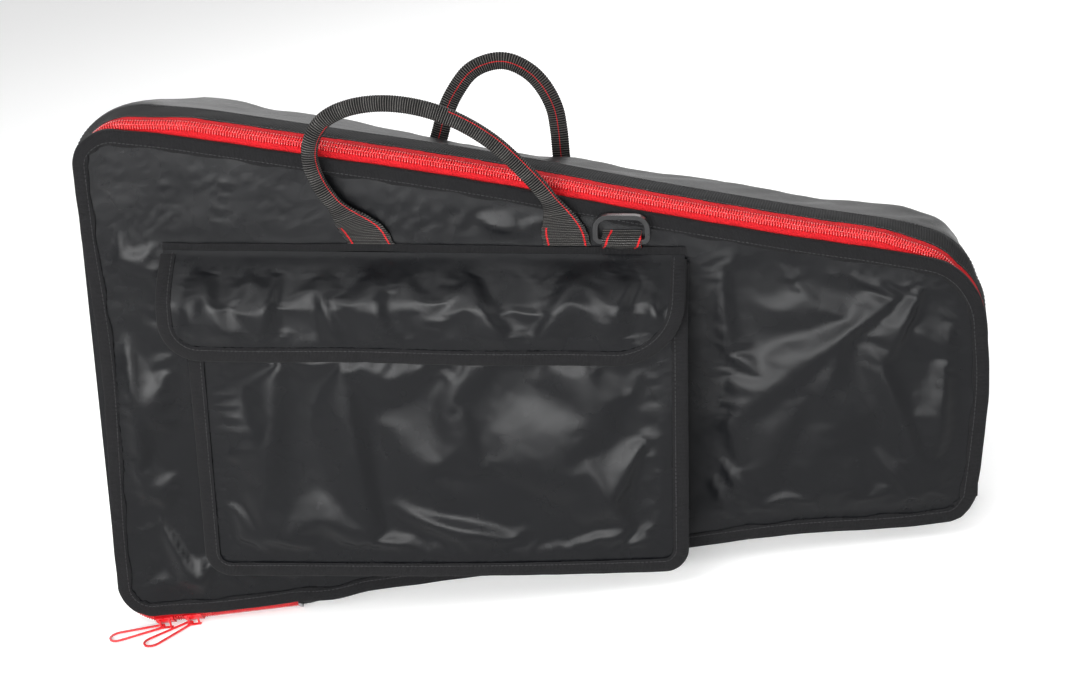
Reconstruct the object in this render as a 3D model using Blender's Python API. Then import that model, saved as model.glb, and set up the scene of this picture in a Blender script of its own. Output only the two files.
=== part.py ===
"""Percussion backpack: a tapered soft case for a bell kit, with a zipped front panel, a flapped pocket,
two webbing handles and padded shoulder straps.

The pieces are drawn in a sewing frame: x runs along the case from its wide end to its narrow end, z runs
square to that, and y runs from the front panel to the back panel. The sewing frame is turned so that the
lower long side lies level, which is how the case stands. All lengths are in metres.
"""

import math

import bmesh
import bpy
from mathutils import Matrix, Vector

# Outline of the front and back panels, measured over their binding tape
CASE_LENGTH = 0.740
WIDE_END_HEIGHT = 0.458
NARROW_END_HEIGHT = 0.224
CASE_DEPTH = 0.104
CORNER_WIDE_LOW = 0.028
CORNER_WIDE_TOP_FRONT = 0.032
CORNER_WIDE_TOP_BACK = 0.074
CORNER_NARROW_TOP = 0.052
CORNER_NARROW_LOW = 0.026
ARC_STEPS = 8

# Fabric, foam and tape
PANEL_THICK = 0.0030
FOAM_THICK = 0.0050
FOAM_INSET = 0.017
GUSSET_THICK = 0.0030
FACING_THICK = 0.0024
BINDING_WIDTH = 0.0130
BINDING_WALL = 0.0012
GAP = 0.0003

# Crown of the gusset: how far its middle stands out from the bound edges, and over what depth it rises
CROWN_HEIGHT = 0.0140
CROWN_RUN = 0.0220
CROWN_TUCK = 0.0040
CROWN_STEPS = 6

# Zip, measured along the crown from the bound edge
ZIP_MARGIN = 0.0045
ZIP_CHAIN_WIDTH = 0.0080
ZIP_COIL_HALF_THICK = 0.0013
ZIP_TAPE_THICK = 0.0010
ZIP_BACK_MARGIN = 0.0045
FACING_WIDTH = 0.0250
ZIP_LOW_RUN = 0.160
ZIP_STOP_LENGTH = 0.0030
LID_ZIP_FIRST_STEP = 5
LID_ZIP_LAST_STEP = 3

# Sliders and pulls, which lie on the low run of the zip
SLIDER_LENGTH = 0.0160
SLIDER_WALL = 0.0012
SLIDER_SIDE_LIFT = 0.0003
SLIDER_FROM_CORNER = {"slider_a": 0.0380, "slider_b": 0.0640}
POST_RADIUS = 0.0010
POST_SPACING = 0.0090
POST_SIDES = 12
POST_ALONG = 0.0046
BRIDGE_LOW = 0.0004
BRIDGE_THICK = 0.0008
BRIDGE_WIDTH = 0.0030
BRIDGE_OVERHANG = 0.0010
PULL_LOW = 0.0015
PULL_THICK = 0.0014
PULL_WIRE = 0.0018
PULL_LENGTH = 0.0380
PULL_EYE_RADIUS = 0.0030
PULL_RING_RADIUS = 0.0078
PULL_SKEW = {"slider_a": 15.0, "slider_b": 45.0}
PULL_STEPS = 8

# Pocket on the front panel
POCKET_FROM_WIDE_END = 0.0900
POCKET_WIDTH = 0.4130
POCKET_TOP_BELOW_SEAM = 0.0125
POCKET_LIFT_LEFT = 0.0618
POCKET_DEPTH = 0.0300
POCKET_CORNER = 0.0220
POCKET_WALL = 0.0015

# Flap of the pocket
FLAP_OVERHANG_LEFT = 0.0210
FLAP_SHORT_RIGHT = 0.0030
FLAP_SEAM_BELOW_EDGE = 0.0420
FLAP_SEAM_HEIGHT = 0.0065
FLAP_SEAM_THICK = 0.0020
FLAP_HANG = 0.0900
FLAP_THICK = 0.0020
FLAP_CORNER = 0.0300
FLAP_CLEARANCE = 0.0040
FLAP_BROW_DROP = 0.0130
FLAP_CORNER_COLUMNS = 6
LOOP_TAPE_WIDTH = 0.0600
LOOP_TAPE_HEIGHT = 0.0200
LOOP_TAPE_THICK = 0.0012
LOOP_TAPE_ABOVE_HEM = 0.0280
LOOP_TAPE_SHARES = (0.22, 0.78)

# Webbing, handles and their anchors
WEBBING_WIDTH = 0.0380
WEBBING_THICK = 0.0020
GRIP_WIDTH = 0.0200
GRIP_THICK = 0.0070
HANDLE_FROM_WIDE_END = 0.2435
HANDLE_SPAN = 0.1610
HANDLE_RISE = 0.1225
HANDLE_STAND_OFF = 0.0110
REAR_HANDLE_FROM_WIDE_END = 0.2650
REAR_HANDLE_SPAN = 0.1330
REAR_HANDLE_RISE = 0.1205
REAR_HANDLE_STAND_OFF = 0.0080
HANDLE_SMOOTH_STEPS = 2
FRONT_HANDLE_SHARES = (
    (0.00, 0.00), (-0.04, 0.11), (-0.13, 0.24), (-0.22, 0.41), (-0.27, 0.59), (-0.26, 0.745),
    (-0.19, 0.885), (-0.06, 0.97), (0.11, 1.00), (0.295, 0.97), (0.475, 0.885), (0.645, 0.745),
    (0.785, 0.57), (0.90, 0.39), (0.97, 0.21), (1.00, 0.00),
)
REAR_HANDLE_SHARES = (
    (0.00, 0.00), (0.06, 0.175), (0.15, 0.43), (0.205, 0.63), (0.27, 0.78), (0.37, 0.925), (0.495, 0.995),
    (0.62, 1.00), (0.745, 0.93), (0.835, 0.82), (0.90, 0.67), (0.925, 0.505), (0.94, 0.30), (0.97, 0.135),
    (1.00, 0.00),
)
FOLD_START_SHARE = 0.05
FOLD_END_SHARE = 0.16

# Plastic ring and its webbing tab on the front panel
RING_TAB_FROM_WIDE_END = 0.4300
RING_TAB_HEIGHT = 0.0120
RING_TAB_THICK = 0.0030
RING_WIDTH = 0.0420
RING_REACH = 0.0220
RING_WIRE = 0.0040
RING_CORNER = 0.0100
RING_TILT = 8.0
RING_CORNER_STEPS = 4

# Shoulder straps on the back panel
ANCHOR_PATCH_FROM_NARROW_END = 0.0850
ANCHOR_PATCH_LENGTH = 0.0500
ANCHOR_PATCH_HEIGHT = 0.1500
ANCHOR_PATCH_THICK = 0.0030
STRAP_WIDTH = 0.0560
STRAP_THICK = 0.0100
STRAP_ROOT_FROM_NARROW_END = 0.1110
STRAP_PAD_LENGTH = 0.3700
STRAP_SPREAD_START = 0.0340
STRAP_SPREAD_END = 0.0780
STRAP_ARCH = 0.0340
STRAP_SHARES = (
    (0.00, 0.00, 0.00), (0.10, 0.05, 0.45), (0.25, 0.17, 0.85), (0.45, 0.40, 1.00), (0.65, 0.68, 1.00),
    (0.85, 0.90, 0.88), (1.00, 1.00, 0.72),
)
ADJUSTER_LENGTH = 0.0260
ADJUSTER_WIDTH = 0.0400
ADJUSTER_THICK = 0.0060
ADJUSTER_CLEARANCE = 0.0010
LOWER_WEBBING_WIDTH = 0.0250
LOWER_WEBBING_THICK = 0.0020
LOWER_TAB_FROM_WIDE_END = 0.0550
LOWER_TAB_SPREAD = 0.1300
LOWER_TAB_LENGTH = 0.0500
LOWER_TAB_HEIGHT = 0.0500
LOWER_TAB_THICK = 0.0030
LOWER_TAB_OVERLAP = 0.0150
CHAMFER_SHARE = 0.3
CUT_OVERRUN = 0.0010

# Worked-out sizes
TAPER = math.atan((WIDE_END_HEIGHT - NARROW_END_HEIGHT) / 2 / CASE_LENGTH)
FRONT_FACE = -CASE_DEPTH / 2
FRONT_INNER = FRONT_FACE + PANEL_THICK
BINDING_INNER = FRONT_INNER + GAP + BINDING_WALL
CROWN_FRONT = BINDING_INNER + GAP
RING_DEPTH = -2 * CROWN_FRONT
STAND_HEIGHT = (
    CROWN_HEIGHT
    + math.cos(TAPER) * WIDE_END_HEIGHT / 2
    - math.sin(TAPER) * CASE_LENGTH / 2
)
ZIP_MIDDLE = ZIP_MARGIN + ZIP_CHAIN_WIDTH / 2
FACING_START = ZIP_MARGIN + ZIP_CHAIN_WIDTH + ZIP_BACK_MARGIN
CORNER_X = -math.cos(TAPER) * CASE_LENGTH / 2 - math.sin(TAPER) * WIDE_END_HEIGHT / 2
WIDE_END = -CASE_LENGTH / 2
NARROW_END = CASE_LENGTH / 2
FLAP_SEAM_TOP = (WIDE_END_HEIGHT + NARROW_END_HEIGHT) / 4 - FLAP_SEAM_BELOW_EDGE
FLAP_LOW = FLAP_SEAM_TOP - FLAP_HANG
POCKET_TOP = FLAP_SEAM_TOP - POCKET_TOP_BELOW_SEAM
POCKET_LEFT = WIDE_END + POCKET_FROM_WIDE_END
POCKET_RIGHT = POCKET_LEFT + POCKET_WIDTH
POCKET_LOW_LEFT = -WIDE_END_HEIGHT / 2 + POCKET_FROM_WIDE_END * math.tan(TAPER) + POCKET_LIFT_LEFT
POCKET_LOW_RIGHT = -WIDE_END_HEIGHT / 2 + (POCKET_RIGHT - WIDE_END) * math.tan(TAPER) + BINDING_WIDTH
FLAP_LEFT = POCKET_LEFT - FLAP_OVERHANG_LEFT
FLAP_RIGHT = POCKET_RIGHT - FLAP_SHORT_RIGHT
HANDLE_LEFT = WIDE_END + HANDLE_FROM_WIDE_END
REAR_HANDLE_LEFT = WIDE_END + REAR_HANDLE_FROM_WIDE_END
RING_TAB_LEFT = WIDE_END + RING_TAB_FROM_WIDE_END
ANCHOR_PATCH_CENTRE = NARROW_END - ANCHOR_PATCH_FROM_NARROW_END
STRAP_ROOT = NARROW_END - STRAP_ROOT_FROM_NARROW_END
LOWER_TAB_CENTRE = WIDE_END + LOWER_TAB_FROM_WIDE_END


def clear_scene():
    for item in list(bpy.data.objects):
        bpy.data.objects.remove(item, do_unlink=True)


def material(name, colour, roughness, metallic=0.0):
    made = bpy.data.materials.new(name)
    made.use_nodes = True
    shader = made.node_tree.nodes["Principled BSDF"]
    shader.inputs["Base Color"].default_value = (*colour, 1.0)
    shader.inputs["Roughness"].default_value = roughness
    shader.inputs["Metallic"].default_value = metallic
    return made


def empty(name, parent, location=(0, 0, 0)):
    made = bpy.data.objects.new(name, None)
    bpy.context.collection.objects.link(made)
    made.parent = parent
    made.location = location
    return made


def body_object(name, mesh, finish, pivot):
    """Links a mesh drawn in the pivot's parent frame, with its origin moved onto the pivot."""
    mesh.transform(Matrix.Translation(-Vector(pivot.location)))
    made = bpy.data.objects.new(name, mesh)
    bpy.context.collection.objects.link(made)
    made.parent = pivot
    made.data.materials.append(finish)
    return made


def mesh_from(name, vertices, faces):
    work = bmesh.new()
    made = [work.verts.new(place) for place in vertices]
    for face in faces:
        work.faces.new([made[i] for i in face])
    bmesh.ops.recalc_face_normals(work, faces=work.faces)
    mesh = bpy.data.meshes.new(name)
    work.to_mesh(mesh)
    work.free()
    return mesh


def lofted(name, rings, closed):
    """Skins a list of equal rings of points into one closed mesh."""
    count = len(rings[0])
    vertices = [place for ring in rings for place in ring]
    faces = []
    spans = len(rings) if closed else len(rings) - 1
    for i in range(spans):
        j = (i + 1) % len(rings)
        for k in range(count):
            m = (k + 1) % count
            faces.append((i * count + k, i * count + m, j * count + m, j * count + k))
    if not closed:
        faces.append(tuple(range(count)))
        faces.append(tuple((len(rings) - 1) * count + k for k in range(count)))
    return mesh_from(name, vertices, faces)


def slab(name, outline, y_low, y_high):
    """A flat plate with the given outline in the x-z plane."""
    near = [(x, y_low, z) for x, z in outline]
    far = [(x, y_high, z) for x, z in outline]
    return lofted(name, [near, far], closed=False)


def corner_arc(corner, before, after, radius, steps):
    """Points and outward normals of a rounded corner between two edge directions, clockwise."""
    normal_in = Vector((-before.y, before.x))
    normal_out = Vector((-after.y, after.x))
    centre = corner - radius * (normal_in + normal_out) / (1 + normal_in.dot(normal_out))
    turn = normal_in.angle_signed(normal_out)
    samples = []
    for i in range(steps + 1):
        angle = -turn * i / steps
        normal = Matrix.Rotation(angle, 2) @ normal_in
        samples.append((centre + radius * normal, normal))
    return samples


def case_rim(y):
    """Samples of the case outline at depth y: the low end of the zip, then clockwise round the case."""
    half = CASE_LENGTH / 2
    corners = [
        Vector((-half, -WIDE_END_HEIGHT / 2)),
        Vector((-half, WIDE_END_HEIGHT / 2)),
        Vector((half, NARROW_END_HEIGHT / 2)),
        Vector((half, -NARROW_END_HEIGHT / 2)),
    ]
    share = min(max((y - CROWN_FRONT) / RING_DEPTH, 0), 1)
    top = CORNER_WIDE_TOP_FRONT + (CORNER_WIDE_TOP_BACK - CORNER_WIDE_TOP_FRONT) * share
    radii = [CORNER_WIDE_LOW, top, CORNER_NARROW_TOP, CORNER_NARROW_LOW]
    edges = [(corners[i] - corners[i - 1]).normalized() for i in range(4)]
    low = corners[3] - corners[0]
    start = corners[0] + low.normalized() * ZIP_LOW_RUN
    samples = [(start, Vector((-edges[0].y, edges[0].x)))]
    for i in range(4):
        samples += corner_arc(corners[i], edges[i], edges[(i + 1) % 4], radii[i], ARC_STEPS)
    return samples


def crown_point(along, lift):
    """Depth and outward offset of a point on the crown of the gusset.

    along is measured over the fabric from the bound front edge, and lift stands off its outer face.
    """
    flat = RING_DEPTH - 2 * CROWN_RUN
    table = [(0.0, 0.0)]
    fine = 90
    for i in range(fine):
        middle = (i + 0.5) / fine * math.pi / 2
        step = math.pi / 2 / fine
        length = math.hypot(CROWN_RUN * math.sin(middle), CROWN_HEIGHT * math.cos(middle)) * step
        table.append((table[-1][0] + length, (i + 1) * step))
    quarter = table[-1][0]
    total = 2 * quarter + flat
    mirrored = along > total / 2
    s = total - along if mirrored else along
    if s <= 0:
        y, n, normal_y, normal_n = 0.0, s, -1.0, 0.0
    elif s >= quarter:
        y, n, normal_y, normal_n = CROWN_RUN + s - quarter, CROWN_HEIGHT, 0.0, 1.0
    else:
        k = max(i for i in range(fine + 1) if table[i][0] <= s)
        k = min(k, fine - 1)
        share = (s - table[k][0]) / (table[k + 1][0] - table[k][0])
        angle = table[k][1] + (table[k + 1][1] - table[k][1]) * share
        y = CROWN_RUN * (1 - math.cos(angle))
        n = CROWN_HEIGHT * math.sin(angle)
        tangent_y = CROWN_RUN * math.sin(angle)
        tangent_n = CROWN_HEIGHT * math.cos(angle)
        size = math.hypot(tangent_y, tangent_n)
        normal_y, normal_n = -tangent_n / size, tangent_y / size
    y = y + lift * normal_y
    depth = -CROWN_FRONT - y if mirrored else CROWN_FRONT + y
    return depth, n + lift * normal_n


def crown_length():
    flat = RING_DEPTH - 2 * CROWN_RUN
    fine = 90
    quarter = 0.0
    for i in range(fine):
        middle = (i + 0.5) / fine * math.pi / 2
        step = math.pi / 2 / fine
        quarter += math.hypot(CROWN_RUN * math.sin(middle), CROWN_HEIGHT * math.cos(middle)) * step
    return 2 * quarter + flat


def crown_band(start, end, outer, inner, steps):
    """Cross-section of a ribbon that lies along the crown from start to end."""
    stops = [start + (end - start) * i / steps for i in range(steps + 1)]
    return [crown_point(s, outer) for s in stops] + [crown_point(s, inner) for s in reversed(stops)]


def binding_section(side):
    """A folded tape round the edge of a panel, as depth and outward offset. side is -1 at the front."""
    face = CASE_DEPTH / 2
    outer = face + GAP + BINDING_WALL
    slot_outer = face + GAP
    slot_inner = face - PANEL_THICK - GAP
    inner = slot_inner - BINDING_WALL
    width = -BINDING_WIDTH
    floor = -BINDING_WALL
    points = [
        (outer, width), (outer, 0.0), (inner, 0.0), (inner, width),
        (slot_inner, width), (slot_inner, floor), (slot_outer, floor), (slot_outer, width),
    ]
    return [(side * y, n) for y, n in points]


def rim_ring(name, rim, section, first=0, last=None, closed=False):
    """Carries a cross-section round the samples of a rim, with half a gap left at open ends."""
    last = len(rim(0.0)) - 1 if last is None else last
    samples = {y: rim(y) for y, n in section}
    rings = []
    for i in range(first, last + 1):
        ring = []
        for y, n in section:
            row = samples[y]
            place, normal = row[i % len(row)]
            towards = 0
            if not closed and i == first:
                towards = i + 1
            if not closed and i == last:
                towards = i - 1
            if towards or (not closed and i == last):
                other = row[towards % len(row)][0]
                place = place + (other - place).normalized() * GAP / 2
            ring.append((place.x + n * normal.x, y, place.y + n * normal.y))
        rings.append(ring)
    return lofted(name, rings, closed)


def panel_outline(y, inset):
    return [(p.x - inset * n.x, p.y - inset * n.y) for p, n in case_rim(y)]


def smooth(points, steps):
    """Catmull-Rom curve through the points, as vectors."""
    points = [Vector(p) for p in points]
    made = []
    for i in range(len(points) - 1):
        before = points[max(i - 1, 0)]
        after = points[min(i + 2, len(points) - 1)]
        a, b = points[i], points[i + 1]
        for k in range(steps):
            t = k / steps
            made.append(0.5 * (
                2 * a + (b - before) * t + (2 * before - 5 * a + 4 * b - after) * t * t
                + (3 * a - before - 3 * b + after) * t * t * t
            ))
    made.append(points[-1])
    return made


def ribbon(name, centres, widths, thicks, level_ends=False):
    """Sweeps a chamfered strip along a path; its width lies square to the path and to the depth axis.

    With level_ends the two ends are turned to lie along x, and the strip turns to its own line from there.
    """
    depth_axis = Vector((0, 1, 0))
    rings = []
    last = len(centres) - 1
    for i, centre in enumerate(centres):
        ahead = centres[min(i + 1, last)] - centres[max(i - 1, 0)]
        side = ahead.cross(depth_axis).normalized()
        if level_ends:
            turned = min(min(i, last - i) / last / FOLD_END_SHARE, 1)
            level = Vector((math.copysign(1, side.x), 0, 0))
            side = (level * (1 - turned) + side * turned).normalized()
        up = side.cross(ahead).normalized()
        w, t = widths[i] / 2, thicks[i] / 2
        c = min(w, t) * CHAMFER_SHARE
        section = [
            (w, c - t), (w, t - c), (w - c, t), (c - w, t),
            (-w, t - c), (-w, c - t), (c - w, -t), (w - c, -t),
        ]
        rings.append([centre + side * a + up * b for a, b in section])
    return lofted(name, rings, closed=False)


def top_edge_frame():
    """Directions along the slanted top edge and square down from it, in the x-z plane."""
    return Vector((math.cos(TAPER), -math.sin(TAPER))), Vector((-math.sin(TAPER), -math.cos(TAPER)))


def low_edge_height(x):
    """Height of the lower long side's bound edge at x."""
    return -WIDE_END_HEIGHT / 2 + (x + CASE_LENGTH / 2) * math.tan(TAPER)


def webbing_run(centre, top, end_clearance):
    """Outline of webbing sewn square to the top edge, from height top down to the lower binding."""
    along, down = top_edge_frame()
    start = Vector((centre, top))
    left = start - along * WEBBING_WIDTH / 2
    right = start + along * WEBBING_WIDTH / 2
    outline = []
    for corner in (left, right):
        reach = (corner.y - top) / -down.y
        outline.append(corner + down * reach)
    ends = []
    for corner in outline:
        slope = math.tan(TAPER)
        fall = corner.y - low_edge_height(corner.x) - end_clearance
        reach = fall / (-down.y + slope * down.x)
        ends.append(corner + down * reach)
    points = [outline[0], outline[1], ends[1], ends[0]]
    return [(p.x, p.y) for p in points]


def pocket_rim(y):
    """Open outline of the pocket: down its left side, along its bottom and up its right side."""
    corners = [
        Vector((POCKET_RIGHT, POCKET_TOP)),
        Vector((POCKET_RIGHT, POCKET_LOW_RIGHT)),
        Vector((POCKET_LEFT, POCKET_LOW_LEFT)),
        Vector((POCKET_LEFT, POCKET_TOP)),
    ]
    return open_rim(corners, POCKET_CORNER)


def flap_rim(y):
    """Open outline of the flap's hanging face."""
    top = POCKET_TOP - FLAP_BROW_DROP
    corners = [
        Vector((FLAP_RIGHT, top)), Vector((FLAP_RIGHT, FLAP_LOW)),
        Vector((FLAP_LEFT, FLAP_LOW)), Vector((FLAP_LEFT, top)),
    ]
    return open_rim(corners, FLAP_CORNER)


def open_rim(corners, radius):
    edges = [(corners[i + 1] - corners[i]).normalized() for i in range(3)]
    samples = [(corners[0], Vector((-edges[0].y, edges[0].x)))]
    for i in (1, 2):
        samples += corner_arc(corners[i], edges[i - 1], edges[i], radius, ARC_STEPS)
    samples.append((corners[3], Vector((-edges[2].y, edges[2].x))))
    return samples


def cut(target, cutter_mesh, name):
    """Takes a cutter away from a piece. The cutter is drawn in the same frame as the piece."""
    cutter = bpy.data.objects.new(name, cutter_mesh)
    bpy.context.collection.objects.link(cutter)
    cutter.parent = target.parent
    cutter.location = -Vector(target.parent.location)
    cutter.hide_render = True
    cutter.display_type = "WIRE"
    modifier = target.modifiers.new(name, "BOOLEAN")
    modifier.operation = "DIFFERENCE"
    modifier.solver = "EXACT"
    modifier.object = cutter


def box_mesh(name, low, high):
    outline = [(low[0], low[2]), (high[0], low[2]), (high[0], high[2]), (low[0], high[2])]
    return slab(name, outline, low[1], high[1])


def joined(target, other_mesh, name):
    """Fuses another mesh, drawn in the same frame, into a piece."""
    other = bpy.data.objects.new(name, other_mesh)
    bpy.context.collection.objects.link(other)
    other.parent = target.parent
    other.location = -Vector(target.parent.location)
    other.hide_render = True
    other.display_type = "WIRE"
    modifier = target.modifiers.new(name, "BOOLEAN")
    modifier.operation = "UNION"
    modifier.solver = "EXACT"
    modifier.object = other


def build_carcass(bag, finish):
    length = crown_length()
    mid_steps = 2 * CROWN_STEPS
    back = slab("back_panel", panel_outline(-FRONT_FACE, BINDING_WALL + GAP), -FRONT_INNER, -FRONT_FACE)
    body_object("back_panel", back, finish["nylon"], bag)
    foam_outer = -FRONT_INNER - GAP
    foam = slab("back_foam", panel_outline(-FRONT_FACE, FOAM_INSET), foam_outer - FOAM_THICK, foam_outer)
    body_object("back_foam", foam, finish["lining"], bag)
    binding = rim_ring("back_binding", case_rim, binding_section(1), closed=True)
    body_object("back_binding", binding, finish["binding"], bag)
    facing_end = FACING_START + FACING_WIDTH
    facing = crown_band(FACING_START + GAP, facing_end, 0.0, -FACING_THICK, CROWN_STEPS)
    body_object("zip_facing", rim_ring("zip_facing", case_rim, facing, closed=True), finish["binding"], bag)
    gusset = crown_band(facing_end + GAP, length + CROWN_TUCK, 0.0, -GUSSET_THICK, mid_steps)
    body_object("gusset", rim_ring("gusset", case_rim, gusset, closed=True), finish["nylon"], bag)


def zip_sections():
    coil_front = crown_band(ZIP_MARGIN, ZIP_MIDDLE - GAP / 2, ZIP_COIL_HALF_THICK, -ZIP_COIL_HALF_THICK, 2)
    coil_back_end = ZIP_MARGIN + ZIP_CHAIN_WIDTH
    coil_back = crown_band(ZIP_MIDDLE + GAP / 2, coil_back_end, ZIP_COIL_HALF_THICK, -ZIP_COIL_HALF_THICK, 2)
    tape_front = crown_band(-CROWN_TUCK, ZIP_MARGIN - GAP, 0.0, -ZIP_TAPE_THICK, CROWN_STEPS)
    tape_back = crown_band(coil_back_end + GAP, FACING_START, 0.0, -ZIP_TAPE_THICK, 2)
    strip = crown_band(-CROWN_TUCK, FACING_START, 0.0, -ZIP_TAPE_THICK, 2 * CROWN_STEPS)
    return coil_front, coil_back, tape_front, tape_back, strip


def build_zip(bag, lid, finish):
    coil_front, coil_back, tape_front, tape_back, strip = zip_sections()
    first = LID_ZIP_FIRST_STEP
    count = len(case_rim(0.0))
    last = count - 1 - ARC_STEPS + LID_ZIP_LAST_STEP
    parts = [
        ("zip_tape_front", tape_front, first, last, "red", lid),
        ("zip_coil_front", coil_front, first, last, "red", lid),
        ("zip_tape_back", tape_back, 0, last, "red", bag),
        ("zip_coil_back", coil_back, 0, last, "red", bag),
        ("zip_parked_tape", tape_front, 0, first, "red", bag),
        ("zip_parked_coil", coil_front, 0, first, "red", bag),
        ("hinge_strip", strip, last, count, "binding", bag),
    ]
    for name, section, start, end, colour, body in parts:
        body_object(name, rim_ring(name, case_rim, section, start, end), finish[colour], body)
    stop_section = crown_band(
        ZIP_MARGIN, ZIP_MARGIN + ZIP_CHAIN_WIDTH, 2 * ZIP_COIL_HALF_THICK, GAP, 2
    )
    rings = []
    for shift in (0.0, ZIP_STOP_LENGTH):
        ring = []
        for y, n in stop_section:
            place, normal = case_rim(y)[0]
            edge = Vector((math.cos(TAPER), math.sin(TAPER)))
            place = place + edge * (shift + GAP)
            ring.append((place.x + n * normal.x, y, place.y + n * normal.y))
        rings.append(ring)
    body_object("zip_stop", lofted("zip_stop", rings, closed=False), finish["metal"], bag)


def build_lid(lid, finish):
    front = slab("front_panel", panel_outline(FRONT_FACE, BINDING_WALL + GAP), FRONT_FACE, FRONT_INNER)
    body_object("front_panel", front, finish["nylon"], lid)
    foam_outer = FRONT_INNER + GAP
    foam = slab("front_foam", panel_outline(FRONT_FACE, FOAM_INSET), foam_outer, foam_outer + FOAM_THICK)
    body_object("front_foam", foam, finish["lining"], lid)
    binding = rim_ring("front_binding", case_rim, binding_section(-1), closed=True)
    body_object("front_binding", binding, finish["binding"], lid)


def front_webbing_centres():
    return {"left": HANDLE_LEFT, "right": HANDLE_LEFT + HANDLE_SPAN}


def build_pocket(lid, finish):
    panel = FRONT_FACE - GAP
    front_outer = FRONT_FACE - POCKET_DEPTH
    front_inner = front_outer + POCKET_WALL
    binding_inner = front_inner + GAP + BINDING_WALL
    wall = BINDING_WALL + GAP
    band = [
        (panel, -wall), (binding_inner + GAP, -wall),
        (binding_inner + GAP, -wall - POCKET_WALL), (panel, -wall - POCKET_WALL),
    ]
    gusset = body_object("pocket_gusset", rim_ring("pocket_gusset", pocket_rim, band), finish["nylon"], lid)
    outline = [(p.x - wall * n.x, p.y - wall * n.y) for p, n in pocket_rim(0.0)]
    body_object("pocket_front", slab("pocket_front", outline, front_outer, front_inner), finish["nylon"], lid)
    outer = front_outer - GAP - BINDING_WALL
    tape = [
        (outer, -BINDING_WIDTH), (outer, 0.0), (binding_inner, 0.0), (binding_inner, -BINDING_WIDTH),
        (front_inner + GAP, -BINDING_WIDTH), (front_inner + GAP, -BINDING_WALL),
        (front_outer - GAP, -BINDING_WALL), (front_outer - GAP, -BINDING_WIDTH),
    ]
    body_object("pocket_binding", rim_ring("pocket_binding", pocket_rim, tape), finish["binding"], lid)
    for side, centre in front_webbing_centres().items():
        top = FLAP_SEAM_TOP - FLAP_SEAM_HEIGHT - GAP
        outline = webbing_run(centre, top, BINDING_WIDTH + GAP)
        name = "front_webbing_" + side
        body_object(name, slab(name, outline, panel - WEBBING_THICK, panel), finish["webbing"], lid)
        low = min(z for x, z in outline)
        grown = [
            (outline[0][0] - GAP, outline[0][1]), (outline[1][0] + GAP, outline[1][1]),
            (outline[2][0] + GAP, low - CUT_OVERRUN), (outline[3][0] - GAP, low - CUT_OVERRUN),
        ]
        notch = slab(name + "_notch", grown, panel - WEBBING_THICK - GAP, panel + CUT_OVERRUN)
        cut(gusset, notch, name + "_notch")
    width = POCKET_RIGHT - POCKET_LEFT
    for side, share in zip(("left", "right"), LOOP_TAPE_SHARES):
        middle = POCKET_LEFT + width * share
        low = FLAP_LOW + LOOP_TAPE_ABOVE_HEM
        tape_face = front_outer - GAP
        mesh = box_mesh(
            "loop_tape_" + side,
            (middle - LOOP_TAPE_WIDTH / 2, tape_face - LOOP_TAPE_THICK, low),
            (middle + LOOP_TAPE_WIDTH / 2, tape_face, low + LOOP_TAPE_HEIGHT),
        )
        body_object("loop_tape_" + side, mesh, finish["webbing"], lid)


def flap_face():
    """Depth of the inner and outer sides of the flap's hanging face."""
    inner = FRONT_FACE - POCKET_DEPTH - FLAP_CLEARANCE
    return inner, inner - FLAP_THICK


def flap_profile(drop):
    """Inner line of the flap in the depth-height plane, from its seam to the given height."""
    inner = flap_face()[0]
    seam_low = FLAP_SEAM_TOP - FLAP_SEAM_HEIGHT
    start = FRONT_FACE - GAP - WEBBING_THICK - GAP
    brow = POCKET_TOP - FLAP_BROW_DROP
    top = seam_low - GAP - FLAP_THICK
    knee = POCKET_TOP + GAP
    return [(start, top), (inner + FLAP_CLEARANCE / 2, knee), (inner, brow), (inner, drop)]


def offset_profile(points, thickness):
    """The same line moved outwards by a thickness, mitred at its corners."""
    made = []
    for i, point in enumerate(points):
        here = Vector(point)
        before = Vector(points[i - 1]) if i else None
        after = Vector(points[i + 1]) if i + 1 < len(points) else None
        normals = []
        if before is not None:
            d = (here - before).normalized()
            normals.append(Vector((d.y, -d.x)))
        if after is not None:
            d = (after - here).normalized()
            normals.append(Vector((d.y, -d.x)))
        if len(normals) == 1:
            made.append(here + normals[0] * thickness)
        else:
            total = normals[0] + normals[1]
            made.append(here + total * thickness / (1 + normals[0].dot(normals[1])))
    return made


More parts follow.
